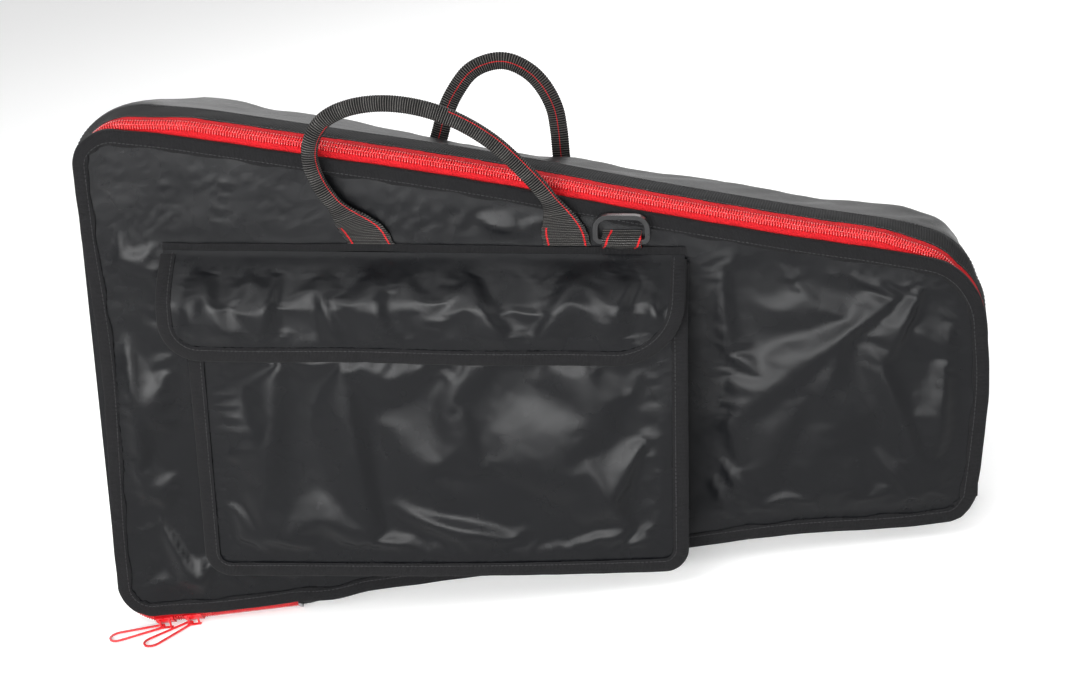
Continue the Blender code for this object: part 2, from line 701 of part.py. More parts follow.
def build_flap(lid, flap, finish):
    panel = FRONT_FACE - GAP
    seam = box_mesh(
        "flap_seam_tape",
        (FLAP_LEFT, panel - FLAP_SEAM_THICK, FLAP_SEAM_TOP - FLAP_SEAM_HEIGHT),
        (FLAP_RIGHT, panel, FLAP_SEAM_TOP),
    )
    body_object("flap_seam_tape", seam, finish["binding"], lid)
    columns = []
    for i in range(FLAP_CORNER_COLUMNS + 1):
        reach = FLAP_CORNER * (1 - math.cos(math.pi / 2 * i / FLAP_CORNER_COLUMNS))
        raise_by = FLAP_CORNER - math.sqrt(max(FLAP_CORNER**2 - (FLAP_CORNER - reach) ** 2, 0))
        columns.append((FLAP_LEFT + reach, FLAP_LOW + raise_by))
    columns += [(FLAP_LEFT + FLAP_RIGHT - x, z) for x, z in reversed(columns)]
    rings = []
    for x, low in columns:
        inner = [Vector(p) for p in flap_profile(low)]
        outer = offset_profile(inner, FLAP_THICK)
        rings.append([(x, p.x, p.y) for p in inner + list(reversed(outer))])
    body_object("pocket_flap", lofted("pocket_flap", rings, closed=False), finish["nylon"], flap)
    inner, outer = flap_face()
    tape = [
        (outer - GAP - BINDING_WALL, -BINDING_WIDTH), (outer - GAP - BINDING_WALL, GAP + BINDING_WALL),
        (inner + GAP + BINDING_WALL, GAP + BINDING_WALL), (inner + GAP + BINDING_WALL, -BINDING_WIDTH),
        (inner + GAP, -BINDING_WIDTH), (inner + GAP, GAP), (outer - GAP, GAP), (outer - GAP, -BINDING_WIDTH),
    ]
    body_object("flap_binding", rim_ring("flap_binding", flap_rim, tape), finish["binding"], flap)
    width = POCKET_RIGHT - POCKET_LEFT
    for side, share in zip(("left", "right"), LOOP_TAPE_SHARES):
        middle = POCKET_LEFT + width * share
        low = FLAP_LOW + LOOP_TAPE_ABOVE_HEM
        mesh = box_mesh(
            "hook_tape_" + side,
            (middle - LOOP_TAPE_WIDTH / 2, inner + GAP, low),
            (middle + LOOP_TAPE_WIDTH / 2, inner + GAP + LOOP_TAPE_THICK, low + LOOP_TAPE_HEIGHT),
        )
        body_object("hook_tape_" + side, mesh, finish["webbing"], flap)


def handle_mesh(name, left, span, rise, shares, face, side, stand_off):
    """A carry handle: flat webbing where it is sewn on, folded to a narrow grip between."""
    base = FLAP_SEAM_TOP + GAP
    controls = []
    for along, up in shares:
        depth = face + side * (WEBBING_THICK / 2 + stand_off * math.sin(math.pi / 2 * min(2 * up, 1)))
        controls.append((left + span * along, depth, base + rise * up))
    centres = smooth(controls, HANDLE_SMOOTH_STEPS)
    widths, thicks = [], []
    for i in range(len(centres)):
        share = min(i, len(centres) - 1 - i) / (len(centres) - 1)
        fold = min(max((share - FOLD_START_SHARE) / (FOLD_END_SHARE - FOLD_START_SHARE), 0), 1)
        widths.append(WEBBING_WIDTH + (GRIP_WIDTH - WEBBING_WIDTH) * fold)
        thicks.append(WEBBING_THICK + (GRIP_THICK - WEBBING_THICK) * fold)
    return ribbon(name, centres, widths, thicks, level_ends=True)


def build_handles(front, rear, bag, finish):
    face = FRONT_FACE - GAP
    mesh = handle_mesh(
        "front_handle", HANDLE_LEFT, HANDLE_SPAN, HANDLE_RISE, FRONT_HANDLE_SHARES, face, -1, HANDLE_STAND_OFF
    )
    body_object("front_handle", mesh, finish["webbing"], front)
    mesh = handle_mesh(
        "rear_handle", REAR_HANDLE_LEFT, REAR_HANDLE_SPAN, REAR_HANDLE_RISE, REAR_HANDLE_SHARES,
        -face, 1, REAR_HANDLE_STAND_OFF,
    )
    body_object("rear_handle", mesh, finish["webbing"], rear)
    for side, centre in (("left", REAR_HANDLE_LEFT), ("right", REAR_HANDLE_LEFT + REAR_HANDLE_SPAN)):
        outline = webbing_run(centre, FLAP_SEAM_TOP - GAP, BINDING_WIDTH + GAP)
        name = "rear_webbing_" + side
        body_object(name, slab(name, outline, -face, -face + WEBBING_THICK), finish["webbing"], bag)


def loop_path(points_and_normals, wire, low, high):
    """Rings of a flat wire loop lying between two heights. The path has in-plane normals."""
    rings = []
    for place, normal in points_and_normals:
        inner = place - normal * wire / 2
        outer = place + normal * wire / 2
        corners = ((inner, low), (outer, low), (outer, high), (inner, high))
        rings.append([(side.x, side.y, height) for side, height in corners])
    return rings


def pull_mesh(name, skew):
    """A drop-shaped wire pull: its small end goes round the slider's post, at the origin."""
    lean = math.asin((PULL_RING_RADIUS - PULL_EYE_RADIUS) / PULL_LENGTH)
    path = []
    for centre, radius, start, end in (
        (0.0, PULL_EYE_RADIUS, -math.pi / 2 - lean, -3 * math.pi / 2 + lean),
        (PULL_LENGTH, PULL_RING_RADIUS, math.pi / 2 + lean, -math.pi / 2 - lean),
    ):
        for i in range(PULL_STEPS + 1):
            angle = start + (end - start) * i / PULL_STEPS
            normal = Vector((math.cos(angle), math.sin(angle)))
            path.append((Vector((centre, 0)) + radius * normal, normal))
    turn = Matrix.Rotation(math.pi + math.radians(skew), 2)
    turned = [(turn @ place, turn @ normal) for place, normal in path]
    return lofted(name, loop_path(turned, PULL_WIRE, PULL_LOW, PULL_LOW + PULL_THICK), closed=True)


def build_sliders(ground, finish):
    """Sliders and pulls, drawn level: x along the low run of the zip, z up from the ground."""
    for name, from_corner in SLIDER_FROM_CORNER.items():
        middle = CORNER_X + from_corner
        post_x = middle - POST_SPACING / 2
        post_y, rise = crown_point(POST_ALONG, ZIP_COIL_HALF_THICK + SLIDER_SIDE_LIFT + SLIDER_WALL)
        post_top = CROWN_HEIGHT - rise + SLIDER_WALL / 2
        body = empty(name + "_axis", ground, (middle, 0, 0))
        half = SLIDER_LENGTH / 2
        lift = ZIP_COIL_HALF_THICK + SLIDER_SIDE_LIFT
        start = ZIP_MARGIN - GAP - SLIDER_WALL
        end = ZIP_MARGIN + ZIP_CHAIN_WIDTH + GAP + SLIDER_WALL
        outer = [crown_point(start + (end - start) * i / 4, lift + SLIDER_WALL) for i in range(5)]
        under = [crown_point(end, SLIDER_SIDE_LIFT), crown_point(end - SLIDER_WALL, SLIDER_SIDE_LIFT)]
        inner_start, inner_end = start + SLIDER_WALL, end - SLIDER_WALL
        inner = [crown_point(inner_end + (inner_start - inner_end) * i / 4, lift) for i in range(5)]
        close = [crown_point(start + SLIDER_WALL, SLIDER_SIDE_LIFT), crown_point(start, SLIDER_SIDE_LIFT)]
        section = outer + under + inner + close
        rings = [[(x, y, CROWN_HEIGHT - n) for y, n in section] for x in (middle - half, middle + half)]
        slider = body_object(name, lofted(name, rings, closed=False), finish["red_metal"], body)
        for i, x in enumerate((post_x, post_x + POST_SPACING)):
            ring_low, ring_high = [], []
            for k in range(POST_SIDES):
                angle = 2 * math.pi * k / POST_SIDES
                px = x + POST_RADIUS * math.cos(angle)
                py = post_y + POST_RADIUS * math.sin(angle)
                ring_low.append((px, py, BRIDGE_LOW + BRIDGE_THICK / 2))
                ring_high.append((px, py, post_top))
            post = lofted(f"{name}_post_{i}", [ring_low, ring_high], closed=False)
            joined(slider, post, f"{name}_post_{i}")
        reach = POST_RADIUS + BRIDGE_OVERHANG
        bridge = box_mesh(
            name + "_bridge",
            (post_x - reach, post_y - BRIDGE_WIDTH / 2, BRIDGE_LOW),
            (post_x + POST_SPACING + reach, post_y + BRIDGE_WIDTH / 2, BRIDGE_LOW + BRIDGE_THICK),
        )
        joined(slider, bridge, name + "_bridge")
        pull_name = name.replace("slider", "pull")
        pull_axis = empty(pull_name + "_axis", ground, (post_x, post_y, 0))
        pull = pull_mesh(pull_name, PULL_SKEW[name])
        pull.transform(Matrix.Translation((post_x, post_y, 0)))
        body_object(pull_name, pull, finish["red_metal"], pull_axis)


def ring_hinge():
    """Depth and height of the bar that the ring turns on."""
    depth = FRONT_FACE - GAP - RING_TAB_THICK - GAP - RING_WIRE / math.sqrt(2)
    return depth, FLAP_SEAM_TOP + GAP + RING_TAB_HEIGHT / 2


def build_ring(lid, ring_axis, finish):
    panel = FRONT_FACE - GAP
    low = FLAP_SEAM_TOP + GAP
    right = RING_TAB_LEFT + WEBBING_WIDTH
    tab = box_mesh(
        "ring_tab", (RING_TAB_LEFT, panel - RING_TAB_THICK, low), (right, panel, low + RING_TAB_HEIGHT)
    )
    body_object("ring_tab", tab, finish["webbing"], lid)
    depth, height = ring_hinge()
    middle = (RING_TAB_LEFT + right) / 2
    half = RING_WIDTH / 2
    corners = [
        (Vector((-half, 0)), RING_WIRE), (Vector((-half, RING_REACH)), RING_CORNER),
        (Vector((half, RING_REACH)), RING_CORNER), (Vector((half, 0)), RING_WIRE),
    ]
    path = []
    for i, (corner, radius) in enumerate(corners):
        before = (corner - corners[i - 1][0]).normalized()
        after = (corners[(i + 1) % 4][0] - corner).normalized()
        path += corner_arc(corner, before, after, radius, RING_CORNER_STEPS)
    mesh = lofted("ring", loop_path(path, RING_WIRE, -RING_WIRE / 2, RING_WIRE / 2), closed=True)
    lean = Matrix.Rotation(math.radians(RING_TILT), 4, "X")
    stand = Matrix.Rotation(math.pi / 2, 4, "X")
    mesh.transform(Matrix.Translation((middle, depth, height)) @ lean @ stand)
    body_object("ring", mesh, finish["plastic"], ring_axis)


def build_straps(bag, finish):
    face = -FRONT_FACE + GAP
    patch_half = ANCHOR_PATCH_LENGTH / 2
    patch = box_mesh(
        "strap_anchor_patch",
        (ANCHOR_PATCH_CENTRE - patch_half, face, -ANCHOR_PATCH_HEIGHT / 2),
        (ANCHOR_PATCH_CENTRE + patch_half, face + ANCHOR_PATCH_THICK, ANCHOR_PATCH_HEIGHT / 2),
    )
    body_object("strap_anchor_patch", patch, finish["binding"], bag)
    for side, sign in (("upper", 1), ("lower", -1)):
        controls = []
        spread = STRAP_SPREAD_END - STRAP_SPREAD_START
        seat = face + STRAP_THICK / 2
        for along, out, arch in STRAP_SHARES:
            x = STRAP_ROOT - STRAP_PAD_LENGTH * along
            z = sign * (STRAP_SPREAD_START + spread * out)
            controls.append((x, seat + STRAP_ARCH * arch, z))
        centres = smooth(controls, HANDLE_SMOOTH_STEPS)
        count = len(centres)
        name = "shoulder_strap_" + side
        strap = ribbon(name, centres, [STRAP_WIDTH] * count, [STRAP_THICK] * count)
        body_object(name, strap, finish["nylon"], bag)
        end = centres[-1]
        onward = (centres[-1] - centres[-2]).normalized()
        start = end + onward * GAP
        stop = start + onward * ADJUSTER_LENGTH
        name = "strap_adjuster_" + side
        adjuster = ribbon(name, [start, stop], [ADJUSTER_WIDTH] * 2, [ADJUSTER_THICK] * 2)
        body_object(name, adjuster, finish["plastic"], bag)
        tab_z = sign * LOWER_TAB_SPREAD
        tab_half = LOWER_TAB_LENGTH / 2
        tab = box_mesh(
            "strap_tab_" + side,
            (LOWER_TAB_CENTRE - tab_half, face, tab_z - LOWER_TAB_HEIGHT / 2),
            (LOWER_TAB_CENTRE + tab_half, face + LOWER_TAB_THICK, tab_z + LOWER_TAB_HEIGHT / 2),
        )
        body_object("strap_tab_" + side, tab, finish["binding"], bag)
        landing_x = LOWER_TAB_CENTRE + tab_half - LOWER_TAB_OVERLAP
        landing_y = face + LOWER_TAB_THICK + GAP + LOWER_WEBBING_THICK / 2
        run_start = stop + onward * ADJUSTER_CLEARANCE
        landing = Vector((landing_x, landing_y, tab_z))
        before = landing + Vector((LOWER_TAB_OVERLAP, 0, -sign * LOWER_TAB_OVERLAP * math.tan(TAPER)))
        leaving = run_start + onward * LOWER_WEBBING_WIDTH
        path = [run_start, leaving, before, landing]
        name = "lower_webbing_" + side
        webbing = ribbon(
            name, path, [LOWER_WEBBING_WIDTH] * len(path), [LOWER_WEBBING_THICK] * len(path)
        )
        body_object(name, webbing, finish["webbing"], bag)


def centre_over_origin(root):
    """Moves the whole case so that its box stands centred over the origin."""
    bpy.context.view_layer.update()
    graph = bpy.context.evaluated_depsgraph_get()
    low, high = Vector((math.inf,) * 3), Vector((-math.inf,) * 3)
    for item in bpy.data.objects:
        if item.type != "MESH" or item.hide_render:
            continue
        seen = item.evaluated_get(graph)
        for vertex in seen.data.vertices:
            place = seen.matrix_world @ vertex.co
            low = Vector(min(a, b) for a, b in zip(low, place))
            high = Vector(max(a, b) for a, b in zip(high, place))
    root.location = (-(low.x + high.x) / 2, -(low.y + high.y) / 2, 0)


def main():
    clear_scene()
    finish = {
        "nylon": material("black_nylon", (0.018, 0.019, 0.021), 0.38),
        "lining": material("grey_lining", (0.05, 0.05, 0.055), 0.80),
        "binding": material("black_binding", (0.012, 0.012, 0.013), 0.85),
        "webbing": material("black_webbing", (0.022, 0.022, 0.024), 0.75),
        "red": material("red_zip", (0.62, 0.012, 0.018), 0.45),
        "red_metal": material("red_enamel", (0.60, 0.010, 0.015), 0.30, 0.2),
        "metal": material("zip_stop_metal", (0.30, 0.30, 0.31), 0.35, 1.0),
        "plastic": material("black_plastic", (0.030, 0.030, 0.032), 0.40),
    }
    root = empty("ground_frame", None)
    sewing = empty("sewing_frame", root, (0, 0, STAND_HEIGHT))
    sewing.rotation_euler = (0, TAPER, 0)
    bag = empty("bag_frame", sewing)
    low_edge = Vector((-CASE_LENGTH / 2, FRONT_FACE - GAP - BINDING_WALL, -WIDE_END_HEIGHT / 2))
    lid = empty("lid_axis", sewing, low_edge)
    flap_hinge = (0, FRONT_FACE - GAP - FLAP_THICK, FLAP_SEAM_TOP - FLAP_SEAM_HEIGHT - GAP)
    flap = empty("flap_axis", sewing, flap_hinge)
    front_hinge = (0, FRONT_FACE - GAP - WEBBING_THICK, FLAP_SEAM_TOP + GAP)
    front_handle = empty("front_handle_axis", sewing, front_hinge)
    rear_handle = empty("rear_handle_axis", sewing, (0, -front_hinge[1], front_hinge[2]))
    depth, height = ring_hinge()
    ring_axis = empty("ring_axis", sewing, (RING_TAB_LEFT + WEBBING_WIDTH / 2, depth, height))
    build_carcass(bag, finish)
    build_zip(bag, lid, finish)
    build_lid(lid, finish)
    build_pocket(lid, finish)
    build_flap(lid, flap, finish)
    build_handles(front_handle, rear_handle, bag, finish)
    build_ring(lid, ring_axis, finish)
    build_straps(bag, finish)
    build_sliders(root, finish)
    centre_over_origin(root)


main()
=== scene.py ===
"""Looks of the percussion backpack: sewn nylon panels, ribbed tapes, a red coil zip, webbing and padding.

Pieces are drawn in the sewing frame of the case: u runs along it from its wide end, v square to that and y
from the front panel to the back panel. to_row turns that frame so that the lower long side lies level.
"""

import math

import bpy
import numpy as np
from mathutils import Matrix


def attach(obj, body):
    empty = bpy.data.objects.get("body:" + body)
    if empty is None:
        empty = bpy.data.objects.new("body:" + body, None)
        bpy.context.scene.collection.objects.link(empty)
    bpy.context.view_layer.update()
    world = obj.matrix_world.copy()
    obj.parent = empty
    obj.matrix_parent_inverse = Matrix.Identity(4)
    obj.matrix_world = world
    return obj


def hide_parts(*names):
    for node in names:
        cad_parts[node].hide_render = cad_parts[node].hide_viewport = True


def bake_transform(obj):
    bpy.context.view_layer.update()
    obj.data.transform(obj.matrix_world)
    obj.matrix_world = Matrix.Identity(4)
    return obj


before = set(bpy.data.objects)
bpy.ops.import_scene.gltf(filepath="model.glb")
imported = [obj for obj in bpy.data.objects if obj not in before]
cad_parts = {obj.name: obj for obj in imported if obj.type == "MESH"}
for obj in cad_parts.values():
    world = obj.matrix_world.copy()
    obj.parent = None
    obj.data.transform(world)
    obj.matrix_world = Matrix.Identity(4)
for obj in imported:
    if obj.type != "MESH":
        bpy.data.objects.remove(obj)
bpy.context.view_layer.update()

# Sizes of the case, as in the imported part, in metres
LENGTH, WIDE, NARROW, DEPTH = 0.740, 0.458, 0.224, 0.104
PLACE = np.array([0.01119, -0.00369, 0.18241])  # origin of the sewing frame in the part's own frame
TAPER = math.atan((WIDE - NARROW) / 2 / LENGTH)
FRONT = -DEPTH / 2
GAP = 0.0003
CLOTH = 0.0011  # thickness of the coated nylon
TAPE, TAPE_WALL = 0.0130, 0.0012  # width and wall of the binding tape
CROWN_FRONT = FRONT + 0.0048
CROWN_DEPTH = -2 * CROWN_FRONT
CROWN_RUN, CROWN_RISE = 0.022, 0.014
CROWN_QUARTER = 0.02872  # arc length over each rounded shoulder of the crown
CROWN_LENGTH = 2 * CROWN_QUARTER + CROWN_DEPTH - 2 * CROWN_RUN
TUCK = 0.004  # how far the zip tape and the gusset reach in under a panel
ZIP_RUN = 0.160

# Arc lengths over the crown, from its front edge: the two halves of the zip, and the ribbed facing
COIL_START, COIL_MIDDLE, COIL_END, FACING_START, FACING_END = 0.0045, 0.0085, 0.0125, 0.0170, 0.0420
UNDER_COIL, TAPE_THIN = -0.0011, 0.0007  # how deep the tape lies under the coils, and its thickness

# The rim: corner radii, steps in each corner and straight, and the numbers of its points
CORNERS = (0.028, 0.032, 0.074, 0.052, 0.026)
ARC = 16
STRAIGHTS = (17, 54, 84, 22, 68)
ARC_STARTS = (17, 87, 187, 225)
ZIP_FIRST = STRAIGHTS[0] + 10
ZIP_LAST = ARC_STARTS[3] + 6

SEAM_TOP, SEAM_TALL = 0.1285, 0.0065  # the flap's seam tape
POCKET = {"left": -0.280, "right": 0.133, "top": 0.116, "low_left": -0.15297, "low_right": -0.13647}
POCKET_FACE, POCKET_CORNER = FRONT - 0.030, 0.022
FLAP = {"left": -0.301, "right": 0.130, "low": 0.0385}
FRONT_GRIP, REAR_GRIP = (-0.1265, 0.161), (-0.105, 0.133)  # left leg of each handle, and the way to its right leg
WEB_WIDE, WEB_THICK = 0.037, 0.0018
STITCH_PITCH, STITCH_INSET = 0.0036, 0.0026
TAB_LEFT, TAB_RIGHT = 0.0634, 0.0948  # the ring's webbing loop
GROWTH = {"front": 0.020, "back": 0.015, "pocket": 0.024, "flap": 0.016}  # extra cloth in each draped sheet


def to_row(co):
    """Turns points of the sewing frame (u, y, v) into the part's own frame."""
    c, s = math.cos(TAPER), math.sin(TAPER)
    u, y, v = co[..., 0], co[..., 1], co[..., 2]
    return np.stack([c * u + s * v, y, -s * u + c * v], -1) + PLACE


def bump(x, centre, width):
    """A smooth hill of height 1 at centre that ends at centre plus or minus width."""
    t = np.clip(np.abs((x - centre) / width), 0, 1)
    return (1 - t * t) ** 2


def ease(x, start, end):
    """Rises smoothly from 0 at start to 1 at end."""
    t = np.clip((x - start) / (end - start), 0, 1)
    return t * t * (3 - 2 * t)


def top_edge(u):
    """Height of the case's slanted upper edge over its middle line."""
    return WIDE / 2 - (u + LENGTH / 2) * math.tan(TAPER)


# How far the slack outline departs from the drawn one, in mm outwards, at points of the rim
FRONT_DRIFT = ((0, 0), (6, -0.7), (12, 0.3), (17, -1), (24, -1.5), (30, -1), (36, 0), (42, -0.7), (48, -2.7),
               (54, -4.4), (60, -6), (66, -5.5), (72, -3.4), (78, -0.5), (90, 1.3), (96, 0), (103, 1), (108, 3.6),
               (120, 4.5), (126, 5.1), (132, 5.9), (138, 5.9), (144, 5.4), (150, 3.9), (156, 2.3), (162, 1.4),
               (174, 0.3), (181, 1.5), (186, 1.2), (192, 0.3), (198, -0.5), (204, 2.7), (210, 7.0), (216, 5.2),
               (222, 1.9), (228, -2.3), (234, -2), (240, -1), (246, -0.5), (252, -4.5), (258, -7), (264, -6.1),
               (276, -4.2), (288, -2.4), (300, -0.8), (308, 0))
REAR_DRIFT = ((0, 0), (36, 0), (48, -3), (60, -7), (72, -5), (84, -3), (93, -8), (98, -10), (103, -6), (108, -0.5),
              (114, -1.4), (118, -1.7), (126, -5.3), (134, -4.9), (138, -7.1), (142, -9), (146, -5.2), (158, -5.1),
              (170, -6), (178, -5.8), (186, -3.4), (190, -5.8), (194, -9), (198, -11), (204, -9), (224, -4),
              (242, 0), (308, 0))

# Where the front hem hangs lowest near the sliders: drop, place along the case, half width
HEM_HANGS = ((0.0030, -0.255, 0.075), (0.0040, -0.180, 0.037))


def unit(vectors, least=0.0):
    """Vectors along the last axis, brought to length 1."""
    return vectors / np.maximum(np.linalg.norm(vectors, axis=-1, keepdims=True), least)


def run_along(line):
    """Distance of each point of a line from its start."""
    return np.concatenate([[0], np.cumsum(np.linalg.norm(np.diff(line, axis=0), axis=1))])


def at_depth(place, y):
    """Points (u, v) of an outline as points of the sewing frame at depth y."""
    return np.stack(np.broadcast_arrays(place[..., 0], y, place[..., 1]), -1)


def add_object(name, data):
    made = bpy.data.objects.new(name, data)
    bpy.context.scene.collection.objects.link(made)
    return made


def drifted(table, count):
    """A table of shifts in metres at every rim point, smoothed."""
    k = np.arange(count)
    values = np.interp(k, *zip(*table)) / 1000
    weights = np.array([1, 2, 3, 4, 3, 2, 1]) / 16
    return np.convolve(np.concatenate([values[-3:], values, values[:3]]), weights, "valid")


# Outline and crown of the case

def turned(vector, angle):
    c, s = math.cos(angle), math.sin(angle)
    return np.array([c * vector[0] - s * vector[1], s * vector[0] + c * vector[1]])


def corner_centre(corner, radius, n_in, n_out):
    return corner - radius * (n_in + n_out) / (1 + n_in @ n_out)


def rim(y):
    """Points and outward normals of the outline at depth y, from the zip's low end clockwise round the case."""
    half = LENGTH / 2
    corners = [(-half, -WIDE / 2), (-half, WIDE / 2), (half, NARROW / 2), (half, -NARROW / 2)]
    corners = [np.array(c) for c in corners]
    share = min(max((y - CROWN_FRONT) / CROWN_DEPTH, 0), 1)
    radii = [CORNERS[0], CORNERS[1] + (CORNERS[2] - CORNERS[1]) * share, CORNERS[3], CORNERS[4]]
    edges = [corners[i] - corners[i - 1] for i in range(4)]
    edges = [e / np.linalg.norm(e) for e in edges]
    outs = [np.array([-e[1], e[0]]) for e in edges]
    start = corners[0] - edges[0] * ZIP_RUN
    points, normals = [start], [outs[0]]

    def straight(end, out, steps):
        begin = points[-1]
        for k in range(1, steps):
            points.append(begin + (end - begin) * k / steps)
            normals.append(out)

    for i in range(4):
        n_in, n_out = outs[i], outs[(i + 1) % 4]
        centre = corner_centre(corners[i], radii[i], n_in, n_out)
        straight(centre + radii[i] * n_in, n_in, STRAIGHTS[i])
        turn = math.acos(n_in @ n_out)
        for k in range(ARC + 1):
            n = turned(n_in, -turn * k / ARC)
            points.append(centre + radii[i] * n)
            normals.append(n)
    straight(start, outs[0], STRAIGHTS[4])
    points, normals = np.array(points), np.array(normals)
    front, rear = drifted(FRONT_DRIFT, len(points)), drifted(REAR_DRIFT, len(points))
    if y < CROWN_FRONT:
        hang = sum(drop * bump(points[:, 0], centre, width) for drop, centre, width in HEM_HANGS)
        front = front + hang * np.clip(-normals[:, 1], 0, 1) ** 2
    else:
        front = front * ease(np.arange(len(points)), 15, 20)
    share = ease(y, -0.020, 0.030)
    return points + normals * (front * (1 - share) + rear * share)[:, None], normals


RIM_COUNT = len(rim(0.0)[0])


def crown(s, lift):
    """Depth and outward offset at arc length s over the crown of the gusset, lift off its face."""
    angle = np.linspace(0, math.pi / 2, 400)
    step = np.hypot(CROWN_RUN * np.sin(angle), CROWN_RISE * np.cos(angle))
    table = np.concatenate([[0], np.cumsum((step[1:] + step[:-1]) / 2 * (angle[1] - angle[0]))])
    quarter, flat = table[-1], CROWN_DEPTH - 2 * CROWN_RUN
    s = np.asarray(s, float)
    lift = np.broadcast_to(lift, s.shape)
    far = s > quarter + flat / 2
    s = np.where(far, 2 * quarter + flat - s, s)
    a = np.interp(s, table, angle)
    y, n = CROWN_RUN * (1 - np.cos(a)), CROWN_RISE * np.sin(a)
    ty, tn = CROWN_RUN * np.sin(a), CROWN_RISE * np.cos(a)
    size = np.hypot(ty, tn)
    ny, nn = -tn / size, ty / size
    y, n = np.where(s < 0, 0, y), np.where(s < 0, s, n)
    ny, nn = np.where(s < 0, -1, ny), np.where(s < 0, 0, nn)
    y = np.where(s > quarter, CROWN_RUN + s - quarter, y)
    y, n = y + lift * ny, n + lift * nn
    return np.where(far, -CROWN_FRONT - y, CROWN_FRONT + y), n


def slack(index, y):
    """How far the soft crown sinks in behind the edge of the front panel at each rim point."""
    front = np.interp(index, (0, 17, 31, 96, 110, 182, 192, 241, 300, 308),
                      (0, 0, 0.010, 0.011, 0, 0, 0.013, 0.013, 0.010, 0.0))
    deep = np.interp(index, (0, 184, 198, 232, 250, 308), (0, 0, 0.013, 0.013, 0, 0))
    fade = 1 - ease(y, -0.036, -0.002)
    return np.maximum(front * fade, deep * (1 - 0.35 * ease(y, 0.0, 0.05)))


def round_rim(section, first=0, last=None, closed=False, shifts=None, soft=False):
    """Carries section points (y, n) round the outline; returns rows of points in the sewing frame."""
    index = np.arange(RIM_COUNT) if closed else np.arange(first, last + 1) % RIM_COUNT
    rows = np.zeros((len(index), len(section), 3))
    for k, (y, n) in enumerate(section):
        points, normals = rim(float(y))
        off = np.full(len(index), float(n)) if shifts is None else n + shifts[:, k]
        if soft:
            off = off - slack(index, float(y))
        rows[:, k] = at_depth(points[index] + off[:, None] * normals[index], y)
    return rows


def crown_grid(start, end, lift, steps, first=0, last=None, closed=False):
    """A grid over the crown of the gusset between two arc lengths."""
    y, n = crown(np.linspace(start, end, steps + 1), lift)
    return round_rim(list(zip(y, n)), first, last, closed, soft=True)


def rounded(corners, radii, step=0.005, arc=12):
    """Points and outward normals of an open outline with rounded corners, clockwise."""
    corners = [np.array(c, float) for c in corners]
    edges = [(b - a) / np.linalg.norm(b - a) for a, b in zip(corners, corners[1:])]
    outs = [np.array([-e[1], e[0]]) for e in edges]
    points, normals = [corners[0]], [outs[0]]
    for i, out in enumerate(outs):
        end = corners[-1]
        if i < len(outs) - 1:
            centre = corner_centre(corners[i + 1], radii[i], out, outs[i + 1])
            end = centre + radii[i] * out
        begin = points[-1]
        count = max(int(np.linalg.norm(end - begin) / step), 1)
        for k in range(1, count + 1):
            points.append(begin + (end - begin) * k / count)
            normals.append(out)
        if i < len(outs) - 1:
            turn = math.acos(out @ outs[i + 1])
            for k in range(1, arc + 1):
                n = turned(out, -turn * k / arc)
                points.append(centre + radii[i] * n)
                normals.append(n)
    return np.array(points), np.array(normals)


def smooth_line(points, steps):
    """Catmull-Rom curve through points."""
    points = np.asarray(points, float)
    made = []
    for i in range(len(points) - 1):
        before, after = points[max(i - 1, 0)], points[min(i + 2, len(points) - 1)]
        a, b = points[i], points[i + 1]
        for k in range(steps):
            t = k / steps
            made.append(0.5 * (2 * a + (b - before) * t + (2 * before - 5 * a + 4 * b - after) * t * t
                               + (3 * a - before - 3 * b + after) * t ** 3))
    made.append(points[-1])
    return np.array(made)


def respaced(points, spacing):
    """The same line with points a given distance apart; columns after the third ride along."""
    run = run_along(points[:, :3])
    count = max(int(run[-1] / spacing), 1)
    stops = np.linspace(0, run[-1], count + 1)
    return np.stack([np.interp(stops, run, points[:, k]) for k in range(points.shape[1])], -1)


# Meshes

def run_length(rows, axis):
    step = np.linalg.norm(np.diff(rows, axis=axis), axis=-1).mean(1 - axis)
    return np.concatenate([[0], np.cumsum(step)])


def link_mesh(name, points, quads, uv, finish, body, sharp):
    """A smooth mesh with creases past an angle; uv gives distances along and across the piece in metres."""
    mesh = bpy.data.meshes.new(name)
    mesh.from_pydata(points.tolist(), [], quads.tolist())
    layer = mesh.uv_layers.new(name="cloth")
    layer.data.foreach_set("uv", np.asarray(uv, np.float32).ravel())
    mesh.polygons.foreach_set("use_smooth", [True] * len(mesh.polygons))
    mesh.set_sharp_from_angle(angle=math.radians(sharp))
    mesh.materials.append(finish)
    outward(mesh)
    return placed(name, mesh, body)


def placed(name, mesh, body):
    """Adds a piece to a body; it takes the place of the CAD node that has its name, if there is one."""
    made = add_object(name, mesh)
    if body:
        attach(made, body)
        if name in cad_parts:
            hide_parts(name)
    return made


def outward(mesh):
    """Turns a closed mesh the right way out by the sign of its volume."""
    co = np.zeros(len(mesh.vertices) * 3)
    mesh.vertices.foreach_get("co", co)
    co = co.reshape(-1, 3)
    mesh.calc_loop_triangles()
    tri = np.zeros(len(mesh.loop_triangles) * 3, np.int32)
    mesh.loop_triangles.foreach_get("vertices", tri)
    a, b, c = (co[tri.reshape(-1, 3)[:, k]] - co.mean(0) for k in range(3))
    if np.einsum("ij,ij->i", a, np.cross(b, c)).sum() < 0:
        mesh.flip_normals()


